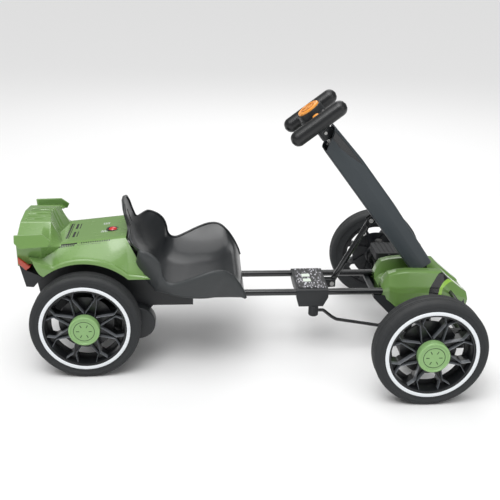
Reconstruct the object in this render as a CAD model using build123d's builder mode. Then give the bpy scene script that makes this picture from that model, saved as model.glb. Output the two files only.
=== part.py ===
"""Child's ride-on pedal kart: four foam tyres, twin-rail frame, bucket seat, raked steering column.

Frame: +X forwards, +Y to the driver's left, +Z up, origin on the ground under the middle of the
whole kart. Millimetres. Every loose piece of the real kart is its own solid in its own file.
"""

import math
import os

from build123d import *

os.makedirs("parts", exist_ok=True)

# ---------------------------------------------------------------- overall sizes
wheelbase = 755.0
tail_overhang = 145.0  # spoiler behind the rear axle
nose_overhang = 158.5  # nose of the front shell ahead of the front axle
rear_track = 284.8
front_track = 583.2
overall_length = tail_overhang + wheelbase + nose_overhang
rear_axle_x = tail_overhang - overall_length / 2
front_axle_x = rear_axle_x + wheelbase

# ---------------------------------------------------------------- clearances
running = 0.05  # radial, shaft in a bush
sliding = 0.3  # radial, telescoping tubes and moving covers
seat_gap = 0.1  # between pieces of one body that are pushed together
free_gap = 3.0  # between parts that pass each other

# ---------------------------------------------------------------- wheels
wheel_radius = 125.0
tyre_width = 47.0
tyre_bead_radius = 94.0
tyre_shoulder = 9.0
ring_inner = 94.4
ring_outer = 102.3
ring_proud = 1.5
barrel_wall = 5.0
barrel_inset = 2.0  # the barrel stops short of the tyre's faces
hub_radius = 29.0
spoke_count = 8
spoke_node_radius = 58.0
spoke_half_hub = 9.0
spoke_half_node = 3.2
spoke_half_rim = 17.0
spoke_back = -4.0
spoke_front = 12.0
spoke_rib = 1.8
spoke_rib_height = 6.0
cap_radius = 35.0
cap_proud = 13.5  # beyond the tyre's face
cap_depth = 19.0
axle_radius = 6.0

# ---------------------------------------------------------------- frame
rail_half_gap = 58.0
rail_z = 161.0
rail_radius = 8.0
rail_wall = 1.5
rail_rear = 60.0  # tail of the rails ahead of the rear axle
rail_front = 12.0  # nose of the rails ahead of the front axle
console_rear = 264.5  # behind the front axle
console_length = 77.0
console_half_width = 68.0
console_top = 171.5
console_bottom = 150.0
skirt_bottom = 127.0
skirt_inner = 46.0
plate_thickness = 2.0
socket_radius = 12.0
socket_bottom = 100.0
stay_radius = 4.0

# ---------------------------------------------------------------- front end
shell_half_width = 70.0
shell_wall = 3.0
belly_half_width = 66.0
belly_top = rail_z - rail_radius
crank_radius = 8.0
crank_throw = 55.0
crank_web_half = 10.0
bush_wall = 3.0
pedal_inner = 116.0
pedal_outer = 196.0
pedal_length = 70.0
pedal_thickness = 20.0
crank_web = 7.0
end_plate_inner = 221.0
end_plate_outer = 229.0
kingpin_half_gap = 240.0
kingpin_radius = 5.0
lug_inner = 46.0  # lug faces, above and below the axle line
lug_outer = 54.0
ball_radius = 8.5
cup_radius = 13.5
cup_back = 10.5  # cup's back face inboard of the kingpin line
cup_lip = 3.0  # cup's front face outboard of the kingpin line
cup_mouth = 0.5  # start of the flared mouth outboard of the kingpin line
mouth_flare = 2.0  # mouth radius beyond the ball's
beam_ahead = 109.5
beam_drop = 20.0
beam_radius = 10.0
arm_offset = 8.0  # steering arms stand outboard of the kingpins
arm_low = 141.0
arm_high = 153.0
tie_radius = 5.0
tie_pin_radius = 4.0

# ---------------------------------------------------------------- steering column
column_tilt = 37.2  # degrees back from upright
column_foot = (44.2, 210.5)  # ahead of the front axle, above the ground
column_depth = 47.0
column_width = 60.0
column_wall = 3.0
column_low = 4.0  # along the column from its foot
column_high = 411.0
column_slant = 31.0
steer_tube_radius = 14.0
steer_shaft_radius = 8.0
pitman_ahead = 52.5
pitman_arm = 50.0
wheel_height = 458.0
grip_half_gap = 71.0
grip_radius = 17.5
grip_half_length = 55.0
hub_drum_radius = 31.0
horn_radius = 27.0
horn_top = 483.0
side_button_radius = 8.0
button_travel = 3.0

# ---------------------------------------------------------------- rear end
body_half_width = 133.0
deck_half_width = 80.0
body_wall = 3.0
arch_radius = 145.0
deck_tail_z = 287.0
deck_nose_z = 312.0
tub_half_width = 82.0
tub_wall = 4.0
sleeve_radius = 10.4
block_end = 243.5
sleeve_end = 341.0
seat_half_width = 150.0
seat_wall = 4.0
seat_floor = 181.0
headrest_half_width = 60.0
deck_button_radius = 11.0
deck_button_at = (58.0, -18.0)
case_inner = 83.0
case_outer = 112.0

axle_z = wheel_radius
rear_axle = (rear_axle_x, axle_z)
front_axle = (front_axle_x, axle_z)


def save(builder, name):
    """Labels a finished piece and writes its STEP file."""
    builder.part.label = name
    export_step(builder.part, f"parts/{name}.step")


def rear(points):
    """Side-view points given behind or ahead of the rear axle."""
    return [(rear_axle_x + x, z) for x, z in points]


def front(points):
    """Side-view points given behind or ahead of the front axle."""
    return [(front_axle_x + x, z) for x, z in points]


def side_plane(y=0.0):
    """Upright plane along the kart, local (x, z), facing +Y after the flip of XZ."""
    return Plane(origin=(0, y, 0), x_dir=(1, 0, 0), z_dir=(0, -1, 0))


def slab(points, y_low, y_high, mode=Mode.ADD):
    """Side-view outline carried straight across from y_low to y_high."""
    with BuildSketch(side_plane(y_high)) as outline:
        Polygon(*points, align=None)
    extrude(outline.sketch, amount=y_high - y_low, mode=mode)


def post(x, z, radius, y_low, y_high, mode=Mode.ADD):
    """Round bar or hole across the kart."""
    with BuildSketch(side_plane(y_high)) as section:
        with Locations((x, z)):
            Circle(radius)
    extrude(section.sketch, amount=y_high - y_low, mode=mode)


def rod(start, end, radius, mode=Mode.ADD):
    """Round bar or hole between two points."""
    run = Vector(*end) - Vector(*start)
    with BuildSketch(Plane(origin=start, z_dir=run.normalized())) as section:
        Circle(radius)
    extrude(section.sketch, amount=run.length, mode=mode)


# ================================================================ wheels
def wheel_frame(x, y):
    """Plane through the wheel centre, local x radial and local y along the axle."""
    return Plane(origin=(x, y, axle_z), x_dir=(1, 0, 0), z_dir=(0, 0, 1))


def turn(x, y, points):
    """Turned ring or disc from (radius, distance along the axle) points."""
    with BuildSketch(wheel_frame(x, y)) as section:
        Polygon(*points, align=None)
    revolve(section.sketch, axis=Axis((x, y, axle_z), (0, 1, 0)))


def make_tyre(name, x, y):
    """Foam ring with rounded shoulders."""
    with BuildPart() as tyre:
        with BuildSketch(wheel_frame(x, y)) as section:
            with Locations(((tyre_bead_radius + wheel_radius) / 2, 0)):
                Rectangle(wheel_radius - tyre_bead_radius, tyre_width)
            fillet(section.vertices().group_by(Axis.X)[-1], tyre_shoulder)
        revolve(axis=Axis((x, y, axle_z), (0, 1, 0)))
    save(tyre, name)


def make_rim(name, x, y, out):
    """Barrel, eight hourglass spokes with raised edges, and the hub tube on its axle."""
    half = tyre_width / 2
    barrel_half = half - barrel_inset
    outer = tyre_bead_radius - seat_gap
    face = Plane(origin=(x, y, axle_z), x_dir=(1, 0, 0), z_dir=(0, out, 0))
    outline = [
        (hub_radius - 3, -spoke_half_hub),
        (spoke_node_radius, -spoke_half_node),
        (outer - barrel_wall + 1, -spoke_half_rim),
        (outer - barrel_wall + 1, spoke_half_rim),
        (spoke_node_radius, spoke_half_node),
        (hub_radius - 3, spoke_half_hub),
    ]
    with BuildPart() as rim:
        inner = outer - barrel_wall
        turn(x, y, [(inner, -barrel_half), (outer, -barrel_half), (outer, barrel_half), (inner, barrel_half)])
        hub_low, hub_high = sorted((out * -half, out * (half + cap_proud - cap_depth - seat_gap)))
        turn(x, y, [(0, hub_low), (hub_radius, hub_low), (hub_radius, hub_high), (0, hub_high)])
        with BuildSketch(face.offset(spoke_back)):
            with PolarLocations(0, spoke_count):
                Polygon(*outline, align=None)
        extrude(amount=spoke_front - spoke_back)
        with BuildSketch(face.offset(spoke_front - spoke_rib_height)):
            with PolarLocations(0, spoke_count):
                with BuildSketch(mode=Mode.PRIVATE) as pocket:
                    Polygon(*outline, align=None)
                    offset(amount=-spoke_rib, kind=Kind.INTERSECTION)
                add(pocket.sketch)
        extrude(amount=spoke_rib_height, mode=Mode.SUBTRACT)
        post(x, axle_z, axle_radius + running, y - tyre_width, y + tyre_width, Mode.SUBTRACT)
    save(rim, name)


def make_ring(name, x, y, out):
    low, high = sorted((out * tyre_width / 2, out * (tyre_width / 2 + ring_proud)))
    with BuildPart() as ring:
        turn(x, y, [(ring_inner, low), (ring_outer, low), (ring_outer, high), (ring_inner, high)])
    save(ring, name)


def make_cap(name, x, y, out):
    """Domed hub cap with a raised border."""
    face = Plane(origin=(x, y, axle_z), x_dir=(1, 0, 0), z_dir=(0, out, 0))
    front_face = tyre_width / 2 + cap_proud
    border = 5.0
    recess = 1.5
    with BuildPart() as cap:
        with BuildSketch(face.offset(front_face - cap_depth)):
            Circle(cap_radius)
        extrude(amount=cap_depth)
        with BuildSketch(face.offset(front_face - recess)):
            Circle(cap_radius - border)
        extrude(amount=recess, mode=Mode.SUBTRACT)
    save(cap, name)


sides = {"right": -1, "left": 1}
for side, out in sides.items():
    for end, x, track in (("rear", rear_axle_x, rear_track), ("front", front_axle_x, front_track)):
        wheel_y = out * track / 2
        make_tyre(f"{end}_tyre_{side}", x, wheel_y)
        make_rim(f"{end}_rim_{side}", x, wheel_y, out)
        make_ring(f"{end}_reflector_ring_{side}", x, wheel_y, out)
        make_cap(f"{end}_hub_cap_{side}", x, wheel_y, out)

# ================================================================ rails and console
for side, out in sides.items():
    with BuildPart() as rail:
        rail_span = (rear_axle_x + rail_rear, front_axle_x + rail_front)
        rod((rail_span[0], out * rail_half_gap, rail_z), (rail_span[1], out * rail_half_gap, rail_z), rail_radius)
        rod(
            (rail_span[0], out * rail_half_gap, rail_z),
            (rail_span[1], out * rail_half_gap, rail_z),
            rail_radius - rail_wall,
            Mode.SUBTRACT,
        )
    save(rail, f"rail_{side}")

console_x = front_axle_x - console_rear
console_nose = console_x + console_length
skirt_taper = 6.0
ear_reach = 26.0
ear_gap = 4.4  # half the gap that takes the strut's flattened end
ear_half = 9.0
strut_foot = (front_axle_x - 170.5, rail_z)
pin_radius = 3.0
with BuildPart() as console_shell:
    block = [
        (console_x, console_bottom),
        (console_nose, console_bottom),
        (console_nose, console_top),
        (console_x, console_top),
    ]
    slab(block, -console_half_width, console_half_width)
    fillet(console_shell.edges().filter_by(Axis.X).group_by(Axis.Z)[-1], 6.0)
    skirt = [
        (console_x, console_bottom),
        (console_nose, console_bottom),
        (console_nose - 2 * skirt_taper, skirt_bottom),
        (console_x + skirt_taper, skirt_bottom),
    ]
    for low, high in ((-console_half_width, -skirt_inner), (skirt_inner, console_half_width)):
        slab(skirt, low, high)
    ear = [
        (console_nose, console_bottom),
        (console_nose + ear_reach, console_bottom + 2),
        (console_nose + ear_reach, console_top),
        (console_nose, console_top),
    ]
    for low, high in ((-ear_half, -ear_gap), (ear_gap, ear_half)):
        slab(ear, low, high)
    post(*strut_foot, pin_radius + seat_gap, -ear_half, ear_half, Mode.SUBTRACT)
    for out in sides.values():
        rod(
            (console_x, out * rail_half_gap, rail_z),
            (console_nose, out * rail_half_gap, rail_z),
            rail_radius + seat_gap,
            Mode.SUBTRACT,
        )
save(console_shell, "console_shell")

plate_margin = 5.0
with BuildPart() as console_plate:
    with BuildSketch(Plane.XY.offset(console_top)) as plate_outline:
        with Locations((console_x + console_length / 2, 0)):
            RectangleRounded(console_length - 2 * plate_margin, 2 * (console_half_width - 8), 4)
    extrude(amount=plate_thickness)
save(console_plate, "console_plate")

socket_x = front_axle_x - 221.0
socket_chamfer = 2.0
socket_rib = 1.4
socket_rib_count = 16
stay_z = 112.5
stay_points = front([(-217.0, stay_z), (-197.0, stay_z), (-175.0, 94.0), (-163.0, 87.0), (-55.0, 68.0), (-32.0, 97.8)])
with BuildPart() as stay_socket:
    with BuildSketch(Plane.XY.offset(socket_bottom)):
        with Locations((socket_x, -rail_half_gap)):
            Circle(socket_radius)
    extrude(amount=skirt_bottom - socket_bottom)
    chamfer(stay_socket.edges().group_by(Axis.Z)[0], socket_chamfer)
    with BuildSketch(Plane.XY.offset(socket_bottom + 2 * socket_chamfer)):
        with Locations((socket_x, -rail_half_gap)):
            with PolarLocations(socket_radius + socket_rib / 2, socket_rib_count):
                Circle(socket_rib)
    extrude(amount=skirt_bottom - socket_bottom - 5 * socket_chamfer, mode=Mode.SUBTRACT)
    rod(
        (socket_x + 3, -rail_half_gap, stay_z),
        (socket_x + 2 * socket_radius, -rail_half_gap, stay_z),
        stay_radius + seat_gap,
        Mode.SUBTRACT,
    )
save(stay_socket, "stay_socket")

with BuildPart() as lower_stay:
    with BuildLine(Plane(origin=(0, -rail_half_gap, 0), x_dir=(1, 0, 0), z_dir=(0, -1, 0))) as stay_line:
        FilletPolyline(*stay_points, radius=8.0)
    stay_start = stay_line.wires()[0] @ 0
    stay_heading = stay_line.wires()[0] % 0
    with BuildSketch(Plane(origin=stay_start, z_dir=stay_heading)) as stay_section:
        Circle(stay_radius)
    sweep()
save(lower_stay, "lower_stay")

# ================================================================ front chassis and its shell
belly_floor = 96.0
belly_wall = 4.0
belly = front(
    [
        (-77.0, belly_top),
        (-77.0, 146.0),
        (-34.0, 101.0),
        (-20.0, belly_floor),
        (138.0, belly_floor),
        (150.0, 118.0),
        (146.0, 140.0),
        (120.0, belly_top),
    ]
)
belly_room = front(
    [
        (-66.0, belly_top + 1),
        (-66.0, 146.0),
        (-30.0, 106.0),
        (-18.0, belly_floor + belly_wall),
        (134.0, belly_floor + belly_wall),
        (144.0, 118.0),
        (140.0, 138.0),
        (116.0, belly_top + 1),
    ]
)
bush_radius = crank_radius + running + bush_wall
pitman_x = front_axle_x + pitman_ahead
pitman_radius = 7.0
with BuildPart() as front_chassis:
    slab(belly, -belly_half_width, belly_half_width)
    slab(belly_room, -belly_half_width + belly_wall, belly_half_width - belly_wall, Mode.SUBTRACT)
    # bearing walls for the cranked axle
    for out in sides.values():
        low, high = sorted((out * 44.0, out * (belly_half_width - belly_wall)))
        post(*front_axle, bush_radius + 5, low, high)
    post(*front_axle, bush_radius, -belly_half_width, belly_half_width, Mode.SUBTRACT)
    # pitman post block, standing on the floor
    with BuildSketch(Plane.XY.offset(96.0)):
        with Locations((pitman_x, 0)):
            Rectangle(30, 2 * (belly_half_width - belly_wall))
    extrude(amount=24.0)
    # the front beam passes through a saddle
    slab(front([(96.0, 96.0), (123.0, 96.0), (123.0, 118.0), (96.0, 118.0)]), -belly_half_width, belly_half_width)
    rod(
        (front_axle_x + beam_ahead, -belly_half_width, axle_z - beam_drop),
        (front_axle_x + beam_ahead, belly_half_width, axle_z - beam_drop),
        beam_radius + seat_gap,
        Mode.SUBTRACT,
    )
    with BuildSketch(Plane.XY.offset(90.0)):
        with Locations((pitman_x, 0)):
            Circle(pitman_radius + running)
    extrude(amount=40.0, mode=Mode.SUBTRACT)
save(front_chassis, "front_chassis")

shell_side = front(
    [
        (-52.5, 147.0),
        (-55.5, 173.0),
        (-39.5, 202.0),
        (4.5, 206.0),
        (89.5, 203.0),
        (119.5, 176.0),
        (nose_overhang, 149.0),
        (nose_overhang - 2.5, 121.0),
        (-16.5, 121.0),
    ]
)
shell_room = front(
    [
        (-49.0, 130.0),
        (-52.0, 173.0),
        (-37.0, 199.0),
        (4.5, 203.0),
        (88.0, 200.0),
        (118.0, 173.0),
        (nose_overhang - 3.5, 147.0),
        (nose_overhang - 6.0, 110.0),
        (-30.0, 110.0),
    ]
)
valley_half = 33.0
with BuildPart() as front_shell:
    slab(shell_side, -shell_half_width, shell_half_width)
    fillet(front_shell.edges().filter_by(Axis.X, reverse=True).group_by(Axis.Z)[-1], 1.0)
    slab(shell_room, -shell_half_width + shell_wall, shell_half_width - shell_wall, Mode.SUBTRACT)
    slab(belly, -belly_half_width - sliding, belly_half_width + sliding, Mode.SUBTRACT)
    # valley round the column's foot, open to the rear
    slab(front([(-60, 170), (-60, 210), (84, 210), (84, 170)]), -valley_half, valley_half, Mode.SUBTRACT)
    for out in sides.values():
        rod(
            (front_axle_x - 60, out * rail_half_gap, rail_z),
            (front_axle_x - 45, out * rail_half_gap, rail_z),
            rail_radius + sliding,
            Mode.SUBTRACT,
        )
    post(*front_axle, crank_radius + 1.5, -shell_half_width, shell_half_width, Mode.SUBTRACT)
    slab(
        front([(96.0, 150.0), (124.0, 150.0), (124.0, 168.0), (96.0, 168.0)]),
        -shell_half_width,
        shell_half_width,
        Mode.SUBTRACT,
    )
save(front_shell, "front_shell")

# ================================================================ front axle beam, kingpins, knuckles
def end_plate_outline():
    """Upright end plate of the beam: kingpin lugs' web, crank bearing, reach to the beam."""
    return front(
        [
            (-13.0, axle_z - lug_outer),
            (14.0, axle_z - lug_outer),
            (24.0, axle_z - beam_drop - beam_radius - 2),
            (beam_ahead + 10.0, axle_z - beam_drop - beam_radius),
            (beam_ahead + 10.0, axle_z - beam_drop + beam_radius),
            (30.0, axle_z - beam_drop + beam_radius),
            (20.0, axle_z + 20.0),
            (14.0, axle_z + lug_outer),
            (-13.0, axle_z + lug_outer),
        ]
    )


with BuildPart() as front_beam:
    beam_x = front_axle_x + beam_ahead
    beam_z = axle_z - beam_drop
    rod((beam_x, -end_plate_inner, beam_z), (beam_x, end_plate_inner, beam_z), beam_radius)
    for out in sides.values():
        low, high = sorted((out * end_plate_inner, out * end_plate_outer))
        slab(end_plate_outline(), low, high)
        for lug_low in (axle_z - lug_outer, axle_z + lug_inner):
            with BuildSketch(Plane.XY.offset(lug_low)) as lug:
                with Locations((front_axle_x, out * (end_plate_outer + 5.5))):
                    Rectangle(22, 13)
                with Locations((front_axle_x, out * kingpin_half_gap)):
                    Circle(11)
            extrude(amount=lug_outer - lug_inner)
            with BuildSketch(Plane.XY.offset(lug_low - 1)):
                with Locations((front_axle_x, out * kingpin_half_gap)):
                    Circle(kingpin_radius + seat_gap)
            extrude(amount=lug_outer - lug_inner + 2, mode=Mode.SUBTRACT)
    post(*front_axle, crank_radius + running, -end_plate_outer - 1, end_plate_outer + 1, Mode.SUBTRACT)
save(front_beam, "front_beam")

pin_head = 2.5
knuckle_gap = 0.4
bearing_inner = 252.0
bearing_outer = 264.0
bearing_radius = 24.0
arm_top = lug_inner - knuckle_gap
with BuildPart() as kingpins:
    for out in sides.values():
        for low, high in ((axle_z - lug_outer - pin_head, axle_z - 34.0), (axle_z + 34.0, axle_z + lug_outer + pin_head)):
            with BuildSketch(Plane.XY.offset(low)):
                with Locations((front_axle_x, out * kingpin_half_gap)):
                    Circle(kingpin_radius)
            extrude(amount=high - low)
        for head_low in (axle_z - lug_outer - pin_head, axle_z + lug_outer):
            with BuildSketch(Plane.XY.offset(head_low)):
                with Locations((front_axle_x, out * kingpin_half_gap)):
                    Circle(kingpin_radius + 3)
            extrude(amount=pin_head)
save(kingpins, "kingpins")

for side, out in sides.items():
    with BuildPart() as knuckle:
        low, high = sorted((out * bearing_inner, out * bearing_outer))
        post(*front_axle, bearing_radius, low, high)
        cheek = front([(-12, axle_z - arm_top), (12, axle_z - arm_top), (12, axle_z + arm_top), (-12, axle_z + arm_top)])
        slab(cheek, low, high)
        # upper and lower eyes on the kingpins
        for eye_low in (axle_z - arm_top, axle_z + 34.0):
            with BuildSketch(Plane.XY.offset(eye_low)):
                with Locations((front_axle_x, out * (kingpin_half_gap + bearing_outer) / 2)):
                    Rectangle(24, bearing_outer - kingpin_half_gap)
                with Locations((front_axle_x, out * kingpin_half_gap)):
                    Circle(10.5)
            extrude(amount=arm_top - 34.0)
            with BuildSketch(Plane.XY.offset(eye_low - 1)):
                with Locations((front_axle_x, out * kingpin_half_gap)):
                    Circle(kingpin_radius + running)
            extrude(amount=arm_top - 32.0, mode=Mode.SUBTRACT)
        # steering arm reaching forward to the tie rod
        arm_y = out * (kingpin_half_gap + arm_offset)
        with BuildSketch(Plane.XY.offset(arm_low)) as arm:
            with Locations((front_axle_x + beam_ahead / 2, arm_y)):
                Rectangle(beam_ahead, 10)
            with Locations((front_axle_x + beam_ahead, arm_y)):
                Circle(8)
            with Locations((front_axle_x + 8, out * (kingpin_half_gap + bearing_outer + 5) / 2)):
                Rectangle(28, 15)
        extrude(amount=arm_high - arm_low)
        with BuildSketch(Plane.XY.offset(arm_high)):
            with Locations((front_axle_x + beam_ahead, arm_y)):
                Circle(tie_pin_radius)
        extrude(amount=14.0)
        post(*front_axle, axle_radius + 2 + running, out * bearing_inner - 20, out * bearing_inner + 20, Mode.SUBTRACT)
    save(knuckle, f"knuckle_{side}")

    wheel_y = out * front_track / 2
    outer_face = abs(wheel_y) + tyre_width / 2 + cap_proud - cap_depth
    with BuildPart() as stub_axle:
        rod((front_axle_x, out * kingpin_half_gap, axle_z), (front_axle_x, out * (bearing_outer + 1), axle_z), axle_radius + 2)
        with Locations((front_axle_x, out * kingpin_half_gap, axle_z)):
            Sphere(ball_radius)
        rod((front_axle_x, out * bearing_outer, axle_z), (front_axle_x, out * (outer_face - 1), axle_z), axle_radius)
    save(stub_axle, f"front_stub_axle_{side}")

# ================================================================ cranked axle and pedals
throws = {"left": 1, "right": -1}
with BuildPart() as crank:
    journal = pedal_inner - crank_web - 1.0
    post(*front_axle, crank_radius, -journal, journal)
    for side, up in throws.items():
        out = sides[side]
        pin_z = axle_z + up * crank_throw
        web_low_z, web_high_z = sorted((axle_z, pin_z))
        web = front([(-9, web_low_z), (9, web_low_z), (9, web_high_z), (-9, web_high_z)])
        inner_web = (pedal_inner - 1 - crank_web, pedal_inner - 1)
        outer_web = (pedal_outer + 1, pedal_outer + 1 + crank_web)
        for web_low, web_high in (inner_web, outer_web):
            low, high = sorted((out * web_low, out * web_high))
            slab(web, low, high)
            post(front_axle_x, pin_z, 9, low, high)
            post(*front_axle, 9, low, high)
        low, high = sorted((out * inner_web[0], out * outer_web[1]))
        post(front_axle_x, pin_z, crank_radius - 2, low, high)
        low, high = sorted((out * outer_web[0], out * (kingpin_half_gap - cup_back)))
        post(*front_axle, crank_radius, low, high)
        low, high = sorted((out * (kingpin_half_gap - cup_back), out * (kingpin_half_gap + cup_lip)))
        post(*front_axle, cup_radius, low, high)
        with Locations((front_axle_x, out * kingpin_half_gap, axle_z)):
            Sphere(ball_radius + sliding, mode=Mode.SUBTRACT)
        low, high = sorted((out * (kingpin_half_gap + cup_mouth), out * (kingpin_half_gap + cup_lip + cup_back)))
        post(*front_axle, ball_radius + mouth_flare, low, high, Mode.SUBTRACT)
save(crank, "cranked_axle")

for side, up in throws.items():
    out = sides[side]
    pin_z = axle_z + up * crank_throw
    low, high = sorted((out * pedal_inner, out * pedal_outer))
    half = pedal_length / 2
    thick = pedal_thickness / 2
    with BuildPart() as pedal:
        tread = [
            (front_axle_x - half, pin_z - thick),
            (front_axle_x + half, pin_z - thick),
            (front_axle_x + half, pin_z + thick),
            (front_axle_x - half, pin_z + thick),
        ]
        slab(tread, low, high)
        fillet(pedal.edges().filter_by(Axis.Z), 8.0)
        fillet(pedal.edges().group_by(Axis.Z)[-1], 1.5)
        groove_count = 5
        for n in range(groove_count):
            groove_x = front_axle_x + (n - (groove_count - 1) / 2) * half / 3
            groove = [
                (groove_x - 2, pin_z + thick - 1.5),
                (groove_x + 2, pin_z + thick - 1.5),
                (groove_x + 2, pin_z + thick + 1),
                (groove_x - 2, pin_z + thick + 1),
            ]
            slab(groove, low + 6, high - 6, Mode.SUBTRACT)
        post(front_axle_x, pin_z, crank_radius - 2 + running, low, high, Mode.SUBTRACT)
    save(pedal, f"pedal_{side}")

# ================================================================ tie rod and pitman post
tie_z = arm_high + 7.0
tie_x = front_axle_x + beam_ahead
tie_half = kingpin_half_gap + arm_offset
eye_slot = 3.6
eye_shift = 3.1  # the eyes sit back because the arms swing back as they turn
with BuildPart() as tie_rod:
    rod((tie_x, -tie_half + 10, tie_z), (tie_x, tie_half - 10, tie_z), tie_radius)
    for out in sides.values():
        with BuildSketch(Plane.XY.offset(tie_z - tie_radius)):
            with Locations((tie_x - eye_shift, out * tie_half)):
                Rectangle(26, 20)
        extrude(amount=2 * tie_radius)
        with BuildSketch(Plane.XY.offset(tie_z - tie_radius - 1)):
            with Locations((tie_x - eye_shift, out * tie_half)):
                SlotCenterToCenter(2 * eye_slot, 2 * (tie_pin_radius + 0.8))
        extrude(amount=2 * tie_radius + 2, mode=Mode.SUBTRACT)
    with BuildSketch(Plane.XY.offset(tie_z - tie_radius)):
        with Locations((tie_x - 6, 0)):
            Rectangle(44, 24)
    extrude(amount=2 * tie_radius)
    with BuildSketch(Plane.XY.offset(tie_z - tie_radius - 1)):
        with Locations((tie_x - beam_ahead + pitman_ahead + pitman_arm - 4, 0)):
            SlotCenterToCenter(18, 2 * (tie_pin_radius + 1.6))
    extrude(amount=2 * tie_radius + 2, mode=Mode.SUBTRACT)
save(tie_rod, "tie_rod")

# ================================================================ steering column
tilt = math.radians(column_tilt)
along = (-math.sin(tilt), math.cos(tilt))  # up the column, in side view
across = (math.cos(tilt), math.sin(tilt))  # towards the front face of the column
foot = (front_axle_x + column_foot[0], column_foot[1])


def column_point(s, w=0.0):
    """Side-view point a distance s up the column and w towards its front face."""
    return (foot[0] + s * along[0] + w * across[0], foot[1] + s * along[1] + w * across[1])


def column_block(s_low, s_high, w_low, w_high):
    """Side-view rectangle square to the column."""
    corners = [(s_low, w_low), (s_high, w_low), (s_high, w_high), (s_low, w_high)]
    return [column_point(s, w) for s, w in corners]


def column_plane(s):
    """Plane square to the column, local x towards its front face and local y to the left."""
    x, z = column_point(s)
    return Plane(origin=(x, 0, z), x_dir=(across[0], 0, across[1]), z_dir=(along[0], 0, along[1]))


def column_bar(s_low, s_high, radius, mode=Mode.ADD, w=0.0, y=0.0):
    """Round bar or hole along the column."""
    with BuildSketch(column_plane(s_low)) as section:
        with Locations((w, y)):
            Circle(radius)
    extrude(section.sketch, amount=s_high - s_low, mode=mode)


joint_s = -(pitman_ahead - column_foot[0]) / math.sin(tilt)
joint_centre = column_point(joint_s)
pitman_base = 98.0
pitman_arm_low = 140.0
pitman_arm_high = 149.0
with BuildPart() as pitman:
    with BuildSketch(Plane.XY.offset(pitman_base)):
        with Locations((pitman_x, 0)):
            Circle(pitman_radius)
    extrude(amount=joint_centre[1] - 14 - pitman_base)
    with BuildSketch(Plane.XY.offset(joint_centre[1] - 15)):
        with Locations((pitman_x, 0)):
            Circle(12)
    extrude(amount=16.0)
    with Locations((joint_centre[0], 0, joint_centre[1])):
        Sphere(ball_radius + sliding, mode=Mode.SUBTRACT)
    with BuildSketch(Plane.XY.offset(pitman_arm_low)):
        with Locations((pitman_x + pitman_arm / 2, 0)):
            SlotCenterToCenter(pitman_arm, 13)
    extrude(amount=pitman_arm_high - pitman_arm_low)
    with BuildSketch(Plane.XY.offset(pitman_arm_high)):
        with Locations((pitman_x + pitman_arm, 0)):
            Circle(tie_pin_radius)
    extrude(amount=tie_z + tie_radius + 2 - pitman_arm_high)
save(pitman, "pitman_post")

tube_low = 14.0
tube_high = 384.0
tube_wall = 2.0
with BuildPart() as column_tube:
    column_bar(tube_low, tube_high, steer_tube_radius)
    column_bar(tube_low, tube_high, steer_tube_radius - tube_wall, Mode.SUBTRACT)
save(column_tube, "column_tube")

column_bush_length = 14.0
with BuildPart() as bushes:
    for bush_low in (tube_low, tube_high - column_bush_length):
        column_bar(bush_low, bush_low + column_bush_length, steer_tube_radius - tube_wall - seat_gap / 2)
        column_bar(bush_low, bush_low + column_bush_length, steer_shaft_radius + running, Mode.SUBTRACT)
    for out in sides.values():
        low, high = sorted((out * 44.0, out * belly_half_width))
        post(*front_axle, bush_radius - seat_gap / 2, low, high)
        post(*front_axle, crank_radius + running, low, high, Mode.SUBTRACT)
save(bushes, "bearing_bushes")

cover_half = column_width / 2
lug_s = 167.6
lug_w = -33.1
strut_top = column_point(lug_s, lug_w)
cheek_low = 20.0
cheek_high = cover_half - column_wall - sliding
with BuildPart() as column_bracket:
    cheek = [
        *front([(pitman_ahead - 14.5, 120.0), (pitman_ahead + 14.5, 120.0), (pitman_ahead + 14.5, 172.0)]),
        column_point(6, 18),
        column_point(70, 18),
        column_point(70, -18),
        column_point(6, -18),
        *front([(pitman_ahead - 14.5, 172.0)]),
    ]
    slab(cheek, -cheek_high, cheek_high)
    gap_outline = [
        *front([(pitman_ahead - 40, 128.0), (pitman_ahead + 40, 128.0), (pitman_ahead + 40, 172.0)]),
        column_point(24, 40),
        column_point(24, -40),
        *front([(pitman_ahead - 40, 172.0)]),
    ]
    slab(gap_outline, -cheek_low, cheek_low, Mode.SUBTRACT)
    column_bar(0, 80, steer_tube_radius + seat_gap, Mode.SUBTRACT)
    with BuildSketch(Plane.XY.offset(110.0)):
        with Locations((pitman_x, 0)):
            Circle(pitman_radius + 1)
    extrude(amount=20.0, mode=Mode.SUBTRACT)
    # clamp higher up the tube, with two ears for the strut
    column_bar(lug_s - 11, lug_s + 11, steer_tube_radius + 4)
    slab(column_block(lug_s - 9, lug_s + 9, -40, -14), -ear_half, ear_half)
    slab(column_block(lug_s - 12, lug_s + 12, -42, -20), -ear_gap, ear_gap, Mode.SUBTRACT)
    column_bar(lug_s - 12, lug_s + 12, steer_tube_radius + seat_gap, Mode.SUBTRACT)
    post(*strut_top, pin_radius + seat_gap, -ear_half, ear_half, Mode.SUBTRACT)
save(column_bracket, "column_brackets")

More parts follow.
